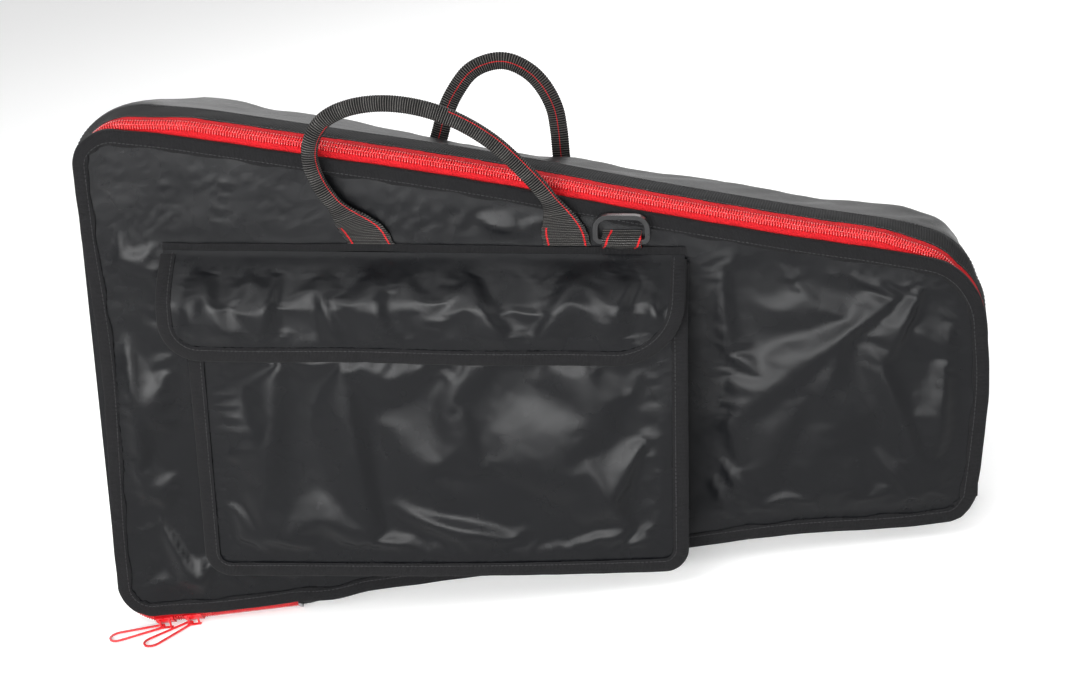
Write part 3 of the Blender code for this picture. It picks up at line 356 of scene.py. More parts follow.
def skin(name, rows, finish, body, closed=False, across=None, sharp=60):
    """Skins rows of one closed section each; open ends get a strip of faces. uv holds metres."""
    n, m = rows.shape[:2]
    index = np.arange(n * m).reshape(n, m)
    ring = np.concatenate([index, index[:1]]) if closed else index
    ring = np.concatenate([ring, ring[:, :1]], 1)
    spread = np.concatenate([rows, rows[:1]]) if closed else rows
    along = run_length(spread, 0)
    if across is None:
        across = run_length(np.concatenate([rows, rows[:, :1]], 1), 1)[None]
    uv = np.stack(np.broadcast_arrays(along[:, None], across), -1)
    quads = np.stack([ring[:-1, :-1], ring[:-1, 1:], ring[1:, 1:], ring[1:, :-1]], -1).reshape(-1, 4)
    flat = np.stack([uv[:-1, :-1], uv[:-1, 1:], uv[1:, 1:], uv[1:, :-1]], 2).reshape(-1, 2)
    if not closed:
        k = np.arange(m // 2 - 1)
        first, last = index[0], index[-1]
        start = np.stack([first[m - 1 - k], first[m - 2 - k], first[k + 1], first[k]], -1)
        end = np.stack([last[k], last[k + 1], last[m - 2 - k], last[m - 1 - k]], -1)
        quads = np.concatenate([quads, start, end])
        flat = np.concatenate([flat, np.zeros((8 * len(k), 2))])
    return link_mesh(name, to_row(rows.reshape(-1, 3)), quads, flat, finish, body, sharp)


def grid_normals(grid, wrap, toward):
    along = np.roll(grid, -1, 0) - np.roll(grid, 1, 0) if wrap else np.gradient(grid, axis=0)
    normal = unit(np.cross(along, np.gradient(grid, axis=1)), 1e-12)
    return -normal if (normal * toward).sum() < 0 else normal


def cloth(name, grid, thick, finish, body, wrap=False, toward=(0, -1, 0)):
    """A sheet from a grid of points, its thickness behind the grid. toward is where its outer face looks."""
    if wrap or toward is None:
        toward = grid * np.array([1, 0, 1])
    normal = grid_normals(grid, wrap, toward)
    rows = np.concatenate([grid, (grid - normal * thick)[:, ::-1]], 1)
    return skin(name, rows, finish, body, closed=wrap)


def columns(us, lows, tops, rows, y):
    """A grid of upright columns between a lower and an upper line, at one depth."""
    lows, tops = np.broadcast_to(lows, us.shape), np.broadcast_to(tops, us.shape)
    v = lows[:, None] + (tops - lows)[:, None] * np.linspace(0, 1, rows)
    u = np.broadcast_to(us[:, None], v.shape)
    return np.stack([u, np.full(v.shape, float(y)), v], -1)


# Folds

def drift(u, v, scale, seed, octaves=3):
    """Smooth seeded unevenness over a sheet, about -1 to 1."""
    generator = np.random.default_rng(seed)
    total = np.zeros(np.broadcast(u, v).shape)
    for octave in range(octaves):
        for _ in range(7):
            angle, phase = generator.uniform(0, 2 * math.pi, 2)
            k = 2 * math.pi / scale * 2**octave * generator.uniform(0.7, 1.3)
            total += np.sin(k * (u * math.cos(angle) + v * math.sin(angle)) + phase) / 2**octave
    return total / 5


def fold(u, v, start, end, height, width, skew=0.45):
    """One fold: a ridge along a line that rises from nothing at its ends, steeper on one side."""
    a, b = np.array(start), np.array(end)
    d = b - a
    size = np.linalg.norm(d)
    t = ((u - a[0]) * d[0] + (v - a[1]) * d[1]) / size**2
    side = ((u - a[0]) * d[1] - (v - a[1]) * d[0]) / size
    w = width * (0.55 + 0.45 * np.clip(t, 0, 1))
    body = np.where(side > 0, np.exp(-np.abs(side / w) ** 1.5), np.exp(-np.abs(side / (w * skew)) ** 1.5))
    return height * body * bump(t, 0.5, 0.60)


def folds(u, v, table):
    total = np.zeros(np.broadcast(u, v).shape)
    for row in table:
        total = total + fold(u, v, *row)
    return total


def crumple(u, v, scale, seed):
    """Facets with creases between them, as slack coated cloth breaks up: 0 to about 1."""
    a = drift(u, v, scale, seed, 2)
    b = drift(u, v, scale * 0.8, seed + 50, 2)
    return 1 - np.abs(a) * 0.9 - np.abs(b) * 0.5


DRAPE_SCALE, DRAPE_FRAMES = 10.0, 24


def drape(grid, hold, growth):
    """Lets a sheet with a little too much cloth find its folds by simulation, held where hold is 0."""
    n, m = grid.shape[:2]
    index = np.arange(n * m).reshape(n, m)
    quads = np.stack([index[:-1, :-1], index[1:, :-1], index[1:, 1:], index[:-1, 1:]], -1).reshape(-1, 4)
    mesh = bpy.data.meshes.new("drape")
    mesh.from_pydata((grid.reshape(-1, 3) * DRAPE_SCALE).tolist(), [], quads.tolist())
    item = add_object("drape", mesh)
    group = item.vertex_groups.new(name="held")
    level = np.round((1 - hold).ravel() * 10).astype(int)
    for k in range(1, 11):
        group.add(np.nonzero(level == k)[0].tolist(), k / 10, "REPLACE")
    modifier = item.modifiers.new("cloth", "CLOTH")
    set_up = modifier.settings
    set_up.quality, set_up.mass, set_up.bending_stiffness = 6, 0.25, 0.8
    set_up.tension_stiffness, set_up.compression_stiffness, set_up.shear_stiffness = 30, 30, 12
    set_up.vertex_group_mass, set_up.shrink_min, set_up.air_damping = "held", -growth, 4
    set_up.effector_weights.gravity = 0
    modifier.collision_settings.use_collision = False
    modifier.point_cache.frame_start, modifier.point_cache.frame_end = 1, DRAPE_FRAMES
    scene = bpy.context.scene
    for frame_number in range(1, DRAPE_FRAMES + 1):
        scene.frame_set(frame_number)
    graph = bpy.context.evaluated_depsgraph_get()
    done = np.zeros(n * m * 3, np.float32)
    item.evaluated_get(graph).data.vertices.foreach_get("co", done)
    bpy.data.objects.remove(item)
    scene.frame_set(1)
    return done.reshape(n, m, 3).astype(float) / DRAPE_SCALE


def limited(rise, sink, swell):
    """Rounds off how far draped cloth sinks in or swells out."""
    limit = np.where(rise < 0, sink, swell)
    return limit * np.tanh(rise / limit)


# Materials

RIB = 0.0021  # pitch of the webbing's ribs
NYLON_SPECULAR = 0.17


def node(tree, kind, **values):
    made = tree.nodes.new(kind)
    for key, value in values.items():
        setattr(made, key, value)
    return made


def fill(made, **values):
    """Sets inputs of a node by name, with an underscore for each space."""
    for name, value in values.items():
        made.inputs[name.replace("_", " ")].default_value = value
    return made


def maths(tree, operation, a, b=None):
    made = node(tree, "ShaderNodeMath", operation=operation)
    for socket, value in zip(made.inputs, (a, b)):
        if isinstance(value, (int, float)):
            socket.default_value = value
        elif value is not None:
            tree.links.new(value, socket)
    return made.outputs[0]


def noise(tree, source, scale, detail=3.0):
    made = fill(node(tree, "ShaderNodeTexNoise"), Scale=scale, Detail=detail)
    tree.links.new(source, made.inputs["Vector"])
    return made.outputs["Fac"]


def ramp(tree, source, low, high, first, second):
    made = fill(node(tree, "ShaderNodeMapRange"), From_Min=low, From_Max=high, To_Min=first, To_Max=second)
    tree.links.new(source, made.inputs["Value"])
    return made.outputs["Result"]


def tint(tree, factor, dark, light):
    made = fill(node(tree, "ShaderNodeMix", data_type="RGBA"), A=(*dark, 1), B=(*light, 1))
    tree.links.new(factor, made.inputs["Factor"])
    return made.outputs["Result"]


def bumps(tree, shader, heights, soft_edge=0.0):
    """Chains bump nodes, given as (height socket, depth in metres), over edges shaded soft by a radius."""
    normal = None
    if soft_edge:
        normal = fill(node(tree, "ShaderNodeBevel", samples=4), Radius=soft_edge).outputs["Normal"]
    for height, depth in heights:
        made = fill(node(tree, "ShaderNodeBump"), Distance=depth)
        tree.links.new(height, made.inputs["Height"])
        if normal:
            tree.links.new(normal, made.inputs["Normal"])
        normal = made.outputs["Normal"]
    tree.links.new(normal, shader.inputs["Normal"])


def start_finish(name, rough, specular, **values):
    """A new material with its tree, shader, object place, and distances along and across the piece."""
    made = bpy.data.materials.new(name)
    made["slot"] = name.split("-")[0]
    made.use_nodes = True
    tree = made.node_tree
    shader = fill(tree.nodes["Principled BSDF"], Roughness=rough, Specular_IOR_Level=specular, **values)
    place = node(tree, "ShaderNodeTexCoord")
    uv = node(tree, "ShaderNodeUVMap", uv_map="cloth")
    parts = node(tree, "ShaderNodeSeparateXYZ")
    tree.links.new(uv.outputs[0], parts.inputs[0])
    return made, tree, shader, place.outputs["Object"], parts.outputs["X"], parts.outputs["Y"]


def ribs(tree, source, pitch):
    return maths(tree, "SINE", maths(tree, "MULTIPLY", source, 2 * math.pi / pitch))


WEAVE = 0.0011


def nylon_finish(name, dark, light, rough):
    """Coated nylon: a tight plain weave under a satin coating, with small dents."""
    made, tree, shader, place, along, across = start_finish(name, rough, NYLON_SPECULAR)
    weave = maths(tree, "MULTIPLY", ribs(tree, along, WEAVE), ribs(tree, across, WEAVE))
    patch = noise(tree, place, 9.0, 4.0)
    tree.links.new(tint(tree, patch, dark, light), shader.inputs["Base Color"])
    tree.links.new(ramp(tree, noise(tree, place, 30.0), 0.3, 0.7, rough - 0.04, rough + 0.05),
                   shader.inputs["Roughness"])
    small = noise(tree, place, 26.0, 2.0)
    bumps(tree, shader, [(small, 0.0016), (weave, 0.00003)])
    return made


def tape_finish(name, dark, light, pitch, rough, depth=0.00012, sheen=0.15):
    """Ribbed tape: ribs across its length, finer yarn between them, a little fluff."""
    made, tree, shader, place, along, across = start_finish(name, rough, 0.15, Sheen_Weight=sheen,
                                                            Sheen_Roughness=0.5)
    rib = ribs(tree, along, pitch)
    yarn = ribs(tree, across, pitch * 0.7)
    grain = noise(tree, place, 900.0, 2.0)
    tone = maths(tree, "MULTIPLY", ramp(tree, rib, -1, 1, 0.25, 1), ramp(tree, grain, 0.3, 0.7, 0.3, 1))
    tree.links.new(tint(tree, tone, dark, light), shader.inputs["Base Color"])
    bumps(tree, shader, [(rib, depth), (yarn, depth * 0.5), (grain, depth)])
    return made


def webbing_finish(name, stripes, width):
    """Ribbed webbing with thin red stripes at given distances from its middle line."""
    made, tree, shader, place, along, across = start_finish(name, 0.75, 0.2)
    rib = ribs(tree, along, RIB)
    yarn = ribs(tree, across, 0.0015)
    grain = noise(tree, place, 800.0, 2.0)
    tone = maths(tree, "MULTIPLY", ramp(tree, rib, -0.1, 0.9, 0.0, 1), ramp(tree, yarn, -1, 1, 0.45, 1))
    tone = maths(tree, "MULTIPLY", tone, ramp(tree, grain, 0.25, 0.75, 0.6, 1))
    black = tint(tree, tone, (0.002, 0.002, 0.002), (0.150, 0.145, 0.138))
    red = tint(tree, tone, (0.50, 0.008, 0.012), (0.90, 0.030, 0.035))
    mask = None
    for stripe in stripes:
        away = maths(tree, "ABSOLUTE", maths(tree, "SUBTRACT", across, stripe))
        near = maths(tree, "LESS_THAN", away, width / 2)
        mask = near if mask is None else maths(tree, "MAXIMUM", mask, near)
    colour = black
    if mask is not None:
        mix = node(tree, "ShaderNodeMix", data_type="RGBA")
        tree.links.new(mask, mix.inputs["Factor"])
        tree.links.new(black, mix.inputs["A"])
        tree.links.new(red, mix.inputs["B"])
        colour = mix.outputs["Result"]
    tree.links.new(colour, shader.inputs["Base Color"])
    bumps(tree, shader, [(rib, 0.0004), (yarn, 0.0001), (grain, 0.0001)])
    return made


def moulded_finish(name, dark, light, rough, metallic=0.0, coat=0.0, soft_edge=0.0):
    """Moulded or enamelled surface with slight unevenness and rubbed patches."""
    made, tree, shader, place, *_ = start_finish(name, rough, 0.5, Metallic=metallic, Coat_Weight=coat,
                                                 Coat_Roughness=0.06)
    patch = noise(tree, place, 60.0, 4.0)
    tree.links.new(tint(tree, patch, dark, light), shader.inputs["Base Color"])
    tree.links.new(ramp(tree, patch, 0.3, 0.7, rough - 0.05, rough + 0.08), shader.inputs["Roughness"])
    bumps(tree, shader, [(noise(tree, place, 250.0), 0.00006)], soft_edge)
    return made


NYLON = nylon_finish("nylon", (0.0030, 0.0033, 0.0042), (0.0055, 0.0058, 0.0066), 0.25)
NYLON_SOFT = nylon_finish("nylon-gusset", (0.0032, 0.0034, 0.0040), (0.0062, 0.0062, 0.0068), 0.32)
BINDING = tape_finish("binding", (0.003, 0.003, 0.0035), (0.013, 0.013, 0.014), 0.0012, 0.80, sheen=0.03)
FACING = tape_finish("binding-facing", (0.003, 0.003, 0.0035), (0.018, 0.018, 0.019), 0.0022, 0.78, 0.0002, 0.03)
LINING = tape_finish("lining", (0.040, 0.040, 0.044), (0.075, 0.075, 0.080), 0.0016, 0.85)
ZIP_TAPE = tape_finish("zip_tape", (0.34, 0.004, 0.008), (0.62, 0.009, 0.014), 0.0012, 0.55, 0.00010, 0.0)
ZIP_COIL = moulded_finish("zip_coil", (0.58, 0.008, 0.012), (0.74, 0.012, 0.016), 0.22, coat=1.0)
ENAMEL = moulded_finish("red_enamel", (0.60, 0.008, 0.012), (0.72, 0.012, 0.018), 0.22, 0.0, 0.5, soft_edge=0.0004)
STEEL = moulded_finish("stop_metal", (0.28, 0.28, 0.29), (0.42, 0.42, 0.43), 0.32, 1.0, soft_edge=0.0004)
PLASTIC = moulded_finish("plastic", (0.004, 0.004, 0.0045), (0.010, 0.010, 0.011), 0.30, soft_edge=0.0005)
WEBBING = webbing_finish("webbing", (-0.0150, 0.0150), 0.0013)
WEBBING_MIDDLE = webbing_finish("webbing-middle", (0.0,), 0.0013)
WEBBING_PLAIN = webbing_finish("webbing-plain", (), 0.0)
WEBBING_TAB = webbing_finish("webbing-tab", (-0.0125, 0.0135), 0.0016)
PILE = tape_finish("webbing-pile", (0.006, 0.006, 0.006), (0.030, 0.030, 0.031), 0.0011, 0.95)
THREAD = moulded_finish("binding-thread", (0.012, 0.012, 0.013), (0.030, 0.030, 0.032), 0.6)


# Carcass and lid

def edge_lines(y, inset):
    """The upper and lower lines of the panel outline at depth y, each running from the wide end."""
    points, normals = rim(y)
    inner = points - inset * normals
    upper = inner[ARC_STARTS[1]:ARC_STARTS[2] + ARC + 1]
    lower = np.concatenate([inner[ARC_STARTS[0] + ARC::-1], inner[:ARC_STARTS[3] - 1:-1]])
    return upper, lower


def panel_grid(y, inset, cols, rows):
    """A grid over a panel at depth y, an inset in from its outline, with closer columns near its ends."""
    upper, lower = edge_lines(y, inset)
    left, right = upper[0, 0], upper[-1, 0]
    t = np.linspace(0, 1, cols)
    ends = (1 - np.cos(t * math.pi)) / 2
    us = left + (right - left) * (0.75 * t + 0.25 * ends)
    lows, tops = np.interp(us, lower[:, 0], lower[:, 1]), np.interp(us, upper[:, 0], upper[:, 1])
    return columns(us, lows, tops, rows, y)


def border(grid):
    """Distance of each point of a panel grid from the panel's edge."""
    u, v = grid[..., 0], grid[..., 2]
    sides = np.minimum(u - u[:1], u[-1:] - u)
    return np.minimum(sides, np.minimum(v - v[:, :1], v[:, -1:] - v))


# Folds of the front panel: start, end, height, width
FRONT_FOLDS = (
    ((-0.262, 0.165), (-0.292, 0.060), 0.0045, 0.018),
    ((-0.170, 0.150), (-0.235, 0.110), 0.0050, 0.022),
    ((-0.040, 0.150), (0.010, 0.132), 0.0040, 0.020),
    ((0.300, 0.088), (0.140, -0.045), 0.0085, 0.019),
    ((0.262, 0.060), (0.240, -0.010), 0.0050, 0.012),
    ((0.318, 0.090), (0.292, 0.030), 0.0070, 0.013),
    ((0.286, 0.040), (0.330, -0.080), 0.0080, 0.014),
    ((0.345, 0.070), (0.338, -0.075), 0.0065, 0.012),
    ((0.225, -0.005), (0.185, -0.085), 0.0070, 0.016),
    ((0.285, -0.045), (0.325, -0.095), 0.0060, 0.009),
    ((0.160, 0.110), (0.163, 0.030), 0.0055, 0.013),
    ((0.150, -0.070), (0.168, -0.110), 0.0050, 0.010),
    ((0.160, -0.060), (0.190, -0.100), 0.0045, 0.009),
    ((-0.340, 0.060), (-0.335, -0.120), 0.0060, 0.020),
    ((-0.330, -0.120), (-0.290, -0.200), 0.0065, 0.013),
    ((-0.270, -0.150), (-0.300, -0.195), 0.0055, 0.012),
    ((-0.240, -0.172), (-0.130, -0.180), 0.0060, 0.011),
)


def strip_clear(u, v, centre):
    """1 away from a run of webbing sewn square to the slanted top edge, 0 on it."""
    half = 0.019
    return ease(np.abs(u - centre + (SEAM_TOP - v) * math.tan(TAPER)), half, half + 0.018)


def build_panels():
    for side, y, body, (left, span) in (("front", FRONT, "lid", FRONT_GRIP), ("back", -FRONT, "bag", REAR_GRIP)):
        grid = panel_grid(y, TAPE_WALL + GAP, 176, 112)
        u, v = grid[..., 0], grid[..., 2]
        sign = -1 if side == "front" else 1
        hold = ease(border(grid), 0.010, 0.034)
        clear = 1 - (1 - strip_clear(u, v, left) * strip_clear(u, v, left + span)) * ease(0.15 - v, 0, 0.02)
        if side == "front":
            broad = 0.010 * bump(v, -0.050, 0.15) * bump(u, 0.255, 0.15)
            raised = broad + folds(u, v, FRONT_FOLDS) + 0.0022 * drift(u, v, 0.16, 5, 2) + 0.0006
            flat = ease(v, 0.10, 0.15) * (1 - ease(u, -0.16, 0.02))
            raised, hold = raised * (1 - 0.7 * flat), hold * (1 - 0.65 * flat)
            under = ease(u, -0.315, -0.296) * (1 - ease(u, 0.134, 0.176)) * ease(v, -0.175, -0.150)
            clear = clear * (1 - under * (1 - ease(v, 0.132, 0.150)))
        else:
            raised = 0.0035 * drift(u, v, 0.22, 9, 2) + 0.002
            clear = clear * ease(np.abs(v) + np.maximum(-u - 0.20, 0), 0.0, 0.01)
        grid[..., 1] += sign * np.clip(raised * hold * clear, -0.001, 0.013)
        free = drape(grid, hold * clear, GROWTH[side])
        rise = limited((free[..., 1] - y) * sign, 0.0012, 0.013)
        free[..., 1] = y + sign * rise * np.where(hold * clear > 0.02, 1, 0)
        piece = cloth(side + "_panel", free, CLOTH, NYLON, body, toward=(0, sign, 0))
        build_lining(side, y, sign, body)


def build_lining(side, y, sign, body):
    """The quilted lining over a panel's foam."""
    grid = panel_grid(y - sign * 0.0033, 0.017, 96, 60)
    u, v = grid[..., 0], grid[..., 2]
    quilt = np.abs(np.sin(math.pi * (u + v) / 0.06) * np.sin(math.pi * (u - v) / 0.06)) ** 0.4
    grid[..., 1] -= sign * (0.0032 + 0.0018 * quilt * ease(border(grid), 0.0, 0.012))
    lining = cloth(side + "_lining", grid, 0.0030, LINING, body, toward=(0, -sign, 0))
    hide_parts(side + "_foam")


def tape_section(side):
    """A tape folded over a panel's edge, as (depth, outward offset), with a rounded fold."""
    outer, inner = DEPTH / 2 + GAP + TAPE_WALL, DEPTH / 2 - 0.003 - GAP - TAPE_WALL
    out_slot, in_slot = outer - TAPE_WALL, inner + TAPE_WALL
    r = 0.0016
    points = [
        (outer - 0.0004, -TAPE), (outer, -TAPE + 0.0005), (outer, -TAPE * 0.5), (outer, -r),
        (outer - r * 0.3, -r * 0.3), (outer - r, 0.0), (inner + r, 0.0), (inner + r * 0.3, -r * 0.3), (inner, -r),
        (inner, -TAPE * 0.5), (inner, -TAPE), (in_slot, -TAPE), (in_slot, -r), (in_slot + 0.0006, -TAPE_WALL),
        (out_slot - 0.0006, -TAPE_WALL), (out_slot, -r), (out_slot, -TAPE * 0.5), (out_slot, -TAPE),
    ]
    return [(side * y, n) for y, n in points]


def build_bindings():
    for name, side, body in (("front_binding", -1, "lid"), ("back_binding", 1, "bag")):
        section = tape_section(side)
        place = np.arange(RIM_COUNT) / RIM_COUNT * 2 * math.pi
        wave = 0.0004 * np.sin(place * 41) + 0.0003 * np.sin(place * 67 + 1)
        free = np.array([ease(-n, TAPE * 0.4, TAPE) for _, n in section])
        rows = round_rim(section, closed=True, shifts=wave[:, None] * (0.4 + 1.4 * free[None]))
        pucker = 0.00035 * np.sin(place * 120 + 0.5 * np.sin(place * 13))
        rows[:, :4, 1] += side * pucker[:, None] * np.array([1.0, 1.0, 0.6, 0.2])
        skin(name, rows, BINDING, body, closed=True, sharp=70)


def zip_tape(name, body, *spans):
    """Red tape over spans of the crown, each with its start, end, lift, steps, and first and last rim point."""
    grid = np.concatenate([crown_grid(*span) for span in spans], 1)
    cloth(name, grid, TAPE_THIN, ZIP_TAPE, body, toward=None)


def build_zip_cloth():
    to_coil = (COIL_START + 0.0002, 0.0, 8)
    front_coil = (COIL_START + 0.0003, COIL_MIDDLE - 0.0006, UNDER_COIL, 2)
    back_coil = (COIL_MIDDLE + 0.0006, COIL_END - 0.0003, UNDER_COIL, 2)
    zip_tape("zip_tape_front", "lid", (-TUCK, *to_coil, ZIP_FIRST, ZIP_LAST), (*front_coil, ZIP_FIRST, ZIP_LAST))
    zip_tape("zip_tape_back", "bag", (*back_coil, 0, ZIP_LAST),
             (COIL_END - 0.0002, FACING_START + 0.0012, 0.0, 4, 0, ZIP_LAST))
    zip_tape("zip_parked_tape", "bag", (-0.0012, *to_coil, 0, ZIP_FIRST - 1), (*front_coil, 0, ZIP_FIRST - 1))
    strip = crown_grid(-TUCK, FACING_START, 0.0, 14, ZIP_LAST, RIM_COUNT)
    hinge = cloth("hinge_strip", strip, 0.0009, FACING, None, toward=None)
    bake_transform(hinge)
    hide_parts("hinge_strip")
    facing = crown_grid(FACING_START + GAP, FACING_END, 0.0, 12, closed=True)
    place = np.arange(RIM_COUNT) / RIM_COUNT * 2 * math.pi
    ripple = 0.0005 * np.sin(place * 53)[:, None] * np.sin(np.linspace(0, math.pi, 13))[None]
    facing += grid_normals(facing, True, facing * np.array([1, 0, 1])) * ripple[..., None]
    facing[:, 0] += (facing[:, 1] - facing[:, 0]) * 0.2
    cloth("zip_facing", facing, 0.0016, FACING, "bag", wrap=True)


def build_gusset():
    steps = 30
    grid = crown_grid(FACING_END + GAP, CROWN_LENGTH + TUCK, 0.0, steps, closed=True)
    along = run_length(grid, 0)[:, None]
    across = np.linspace(0, 1, steps + 1)[None] * (CROWN_LENGTH + TUCK - FACING_END)
    total = along[-1, 0]
    turn = along / total * 2 * math.pi
    ring_u, ring_v = np.cos(turn) * total / 2 / math.pi, np.sin(turn) * total / 2 / math.pi
    rough = drift(ring_u + across * 0.6, ring_v + across, 0.16, 21, 3) * 0.0028
    rough = rough + 0.0020 * (crumple(ring_u, ring_v + across, 0.10, 23) - 0.4)
    hold = np.sin(np.linspace(0, math.pi, steps + 1))[None] ** 0.7
    v = grid[..., 2]
    low = ease(-v, top_edge(grid[..., 0]) - 0.03, top_edge(grid[..., 0]))
    amount = np.clip(rough * hold * (1 - low), -0.005, 0.005)
    grid += grid_normals(grid, True, grid * np.array([1, 0, 1])) * amount[..., None]
    cloth("gusset", grid, 0.0012, NYLON_SOFT, "bag", wrap=True)


# Pocket and flap

def pocket_outline():
    """Points and outward normals of the pocket's edge: down its right side, along its foot and up its left side."""
    left, right, top = POCKET["left"], POCKET["right"], POCKET["top"]
    corners = [(right, top), (right, POCKET["low_right"]), (left, POCKET["low_left"]), (left, top)]
    return rounded(corners, (POCKET_CORNER, POCKET_CORNER))


# Folds of the pocket: start, end, height, width
POCKET_FOLDS = (
    ((-0.205, 0.030), (-0.230, -0.115), 0.0070, 0.026),
    ((-0.150, 0.030), (-0.135, -0.110), 0.0055, 0.030),
    ((0.095, -0.030), (0.060, -0.085), 0.0060, 0.018),
    ((0.050, -0.040), (0.085, -0.100), 0.0060, 0.016),
    ((-0.100, -0.090), (-0.010, -0.110), 0.0045, 0.020),
    ((0.118, 0.020), (0.112, -0.110), 0.0050, 0.014),
    ((-0.060, 0.020), (-0.040, -0.050), 0.0035, 0.030),
)


def pocket_hang(co):
    """Hangs points of the pocket: its lower half drops and stands out, its top leans back under the flap."""
    u, y, v = co[..., 0], co[..., 1], co[..., 2]
    low = POCKET["low_left"] + (POCKET["low_right"] - POCKET["low_left"]) * ease(u, -0.28, 0.133)
    out = 0.0085 * bump(v, low + 0.050, 0.15) * bump(u, -0.03, 0.26)
    drop = 0.0125 * ease(0.03 - v, 0, 0.16)
    return np.stack([u, y + 0.024 * ease(v, 0.070, 0.118) - out, v - drop], -1)


def build_pocket():
    points, normals = pocket_outline()
    build_pocket_front(points - (TAPE_WALL + GAP) * normals)
    build_pocket_gusset(points, normals)
    outer = POCKET_FACE - GAP - TAPE_WALL + wavy(len(points), 0.00025, 0.9)
    rows = np.zeros((len(points), 12, 3))
    for k, (depth, n) in enumerate(fold_section(0, 0.999)):
        rows[:, k] = at_depth(points + n * normals, outer + (POCKET_FACE + 0.0030 - outer) * depth)
    skin("pocket_binding", pocket_hang(rows), BINDING, "lid", sharp=70)


def build_pocket_front(inner):
    """The pocket's slack front, inside the points of its edge."""
    us = np.linspace(inner[:, 0].min(), inner[:, 0].max(), 116)
    base = inner[inner[:, 1] < 0.0]
    order = np.argsort(base[:, 0])
    lows = np.interp(us, base[order, 0], base[order, 1])
    grid = columns(us, lows, POCKET["top"], 88, POCKET_FACE)
    u, v = grid[..., 0], grid[..., 2]
    edge = np.minimum(np.minimum(u - us[0], us[-1] - u), v - lows[:, None])
    hold = ease(edge, 0.009, 0.034) * (1 - ease(v, 0.035, 0.055))
    swell = folds(u, v, POCKET_FOLDS) + 0.0026 * drift(u, v, 0.16, 31, 2) + 0.0004
    grid[..., 1] -= np.clip(hold * swell, -0.002, 0.011)
    free = drape(grid, hold, GROWTH["pocket"])
    rise = limited(POCKET_FACE - free[..., 1], 0.0025, 0.012)
    free[..., 1] = POCKET_FACE - rise * np.where(hold > 0.02, 1, 0)
    piece = cloth("pocket_front", pocket_hang(free), CLOTH, NYLON, "lid")


def build_pocket_gusset(points, normals):
    """The pocket's side walls, which flare out at their left end and hang with the front."""
    base_y, face_y, steps = FRONT - GAP, POCKET_FACE + 0.0026, 14
    rows = np.zeros((len(points), steps + 1, 3))
    flare = 0.010 * ease(-normals[:, 0], 0.3, 1.0)
    for k in range(steps + 1):
        t = k / steps
        loose = 0.0018 * math.sin(math.pi * t) * (1 + 0.8 * np.sin(np.arange(len(points)) * 0.31))
        place = points + (flare * (1 - t) ** 1.6 - (TAPE_WALL + GAP) - loose)[:, None] * normals
        row = at_depth(place, base_y + (face_y - base_y) * t)
        rows[:, k] = row + (pocket_hang(row) - row) * t**1.3
    cloth("pocket_gusset", rows, CLOTH, NYLON, "lid", toward=None)


def fold_section(tuck, heel):
    """A tape folded over the free edge of a sheet: share of the way to its back face, and outward offset."""
    r = 0.0010
    return [
        (tuck, -TAPE), (0, -TAPE + 0.0005), (0, -TAPE * 0.5), (0, -r), (0.25, 0.0), (0.75, 0.0), (1, -r),
        (1, -TAPE * 0.5), (1, -TAPE), (heel, -TAPE - 0.0001), (0.7, -TAPE * 0.8), (0.3, -TAPE * 0.8),
    ]


def wavy(count, size, rate):
    """Small unevenness along a sewn edge."""
    k = np.arange(count)
    return size * (np.sin(k * rate) + 0.5 * np.sin(k * rate * 1.7 + 1))


FLAP_SEAM = SEAM_TOP - SEAM_TALL - GAP
FLAP_HANG = POCKET_FACE - 0.0060
FLAP_PROFILE = smooth_line([(FRONT - 0.0026, FLAP_SEAM), (FRONT - 0.0060, FLAP_SEAM - 0.0034),
                            (FRONT - 0.0128, FLAP_SEAM - 0.0090), (FRONT - 0.0210, FLAP_SEAM - 0.0165),
                            (FRONT - 0.0290, FLAP_SEAM - 0.0250), (FLAP_HANG + 0.0010, FLAP_SEAM - 0.0350),
                            (FLAP_HANG, FLAP_SEAM - 0.0500), (FLAP_HANG, FLAP["low"] - 0.02)], 12)
FLAP_RUN = run_along(FLAP_PROFILE)
FLAP_LONG = float(np.interp(-FLAP["low"], -FLAP_PROFILE[:, 1], FLAP_RUN))


def on_flap(u, w, lift=0.0):
    """A place on the flap: u along it, w down its cloth from the seam, lift off its outer face."""
    w = np.maximum(w, 0)
    y, v = np.interp(w, FLAP_RUN, FLAP_PROFILE[:, 0]), np.interp(w, FLAP_RUN, FLAP_PROFILE[:, 1])
    ty = np.interp(w + 0.001, FLAP_RUN, FLAP_PROFILE[:, 0]) - y
    tv = np.interp(w + 0.001, FLAP_RUN, FLAP_PROFILE[:, 1]) - v
    size = np.hypot(ty, tv)
    y = y + 0.0014 * np.sin(u * 34.0) * ease(w, 0.03, 0.07)
    return np.stack(np.broadcast_arrays(u, y + lift * tv / size, v - lift * ty / size), -1)


def flap_line():
    """The flap's outline in its own sheet: down its right side, along the hem and up its left side."""
    corners = [(FLAP["right"], -0.004), (FLAP["right"], -FLAP_LONG), (FLAP["left"], -FLAP_LONG), (FLAP["left"], -0.004)]
    return rounded(corners, (0.058, 0.032), 0.004, 18)


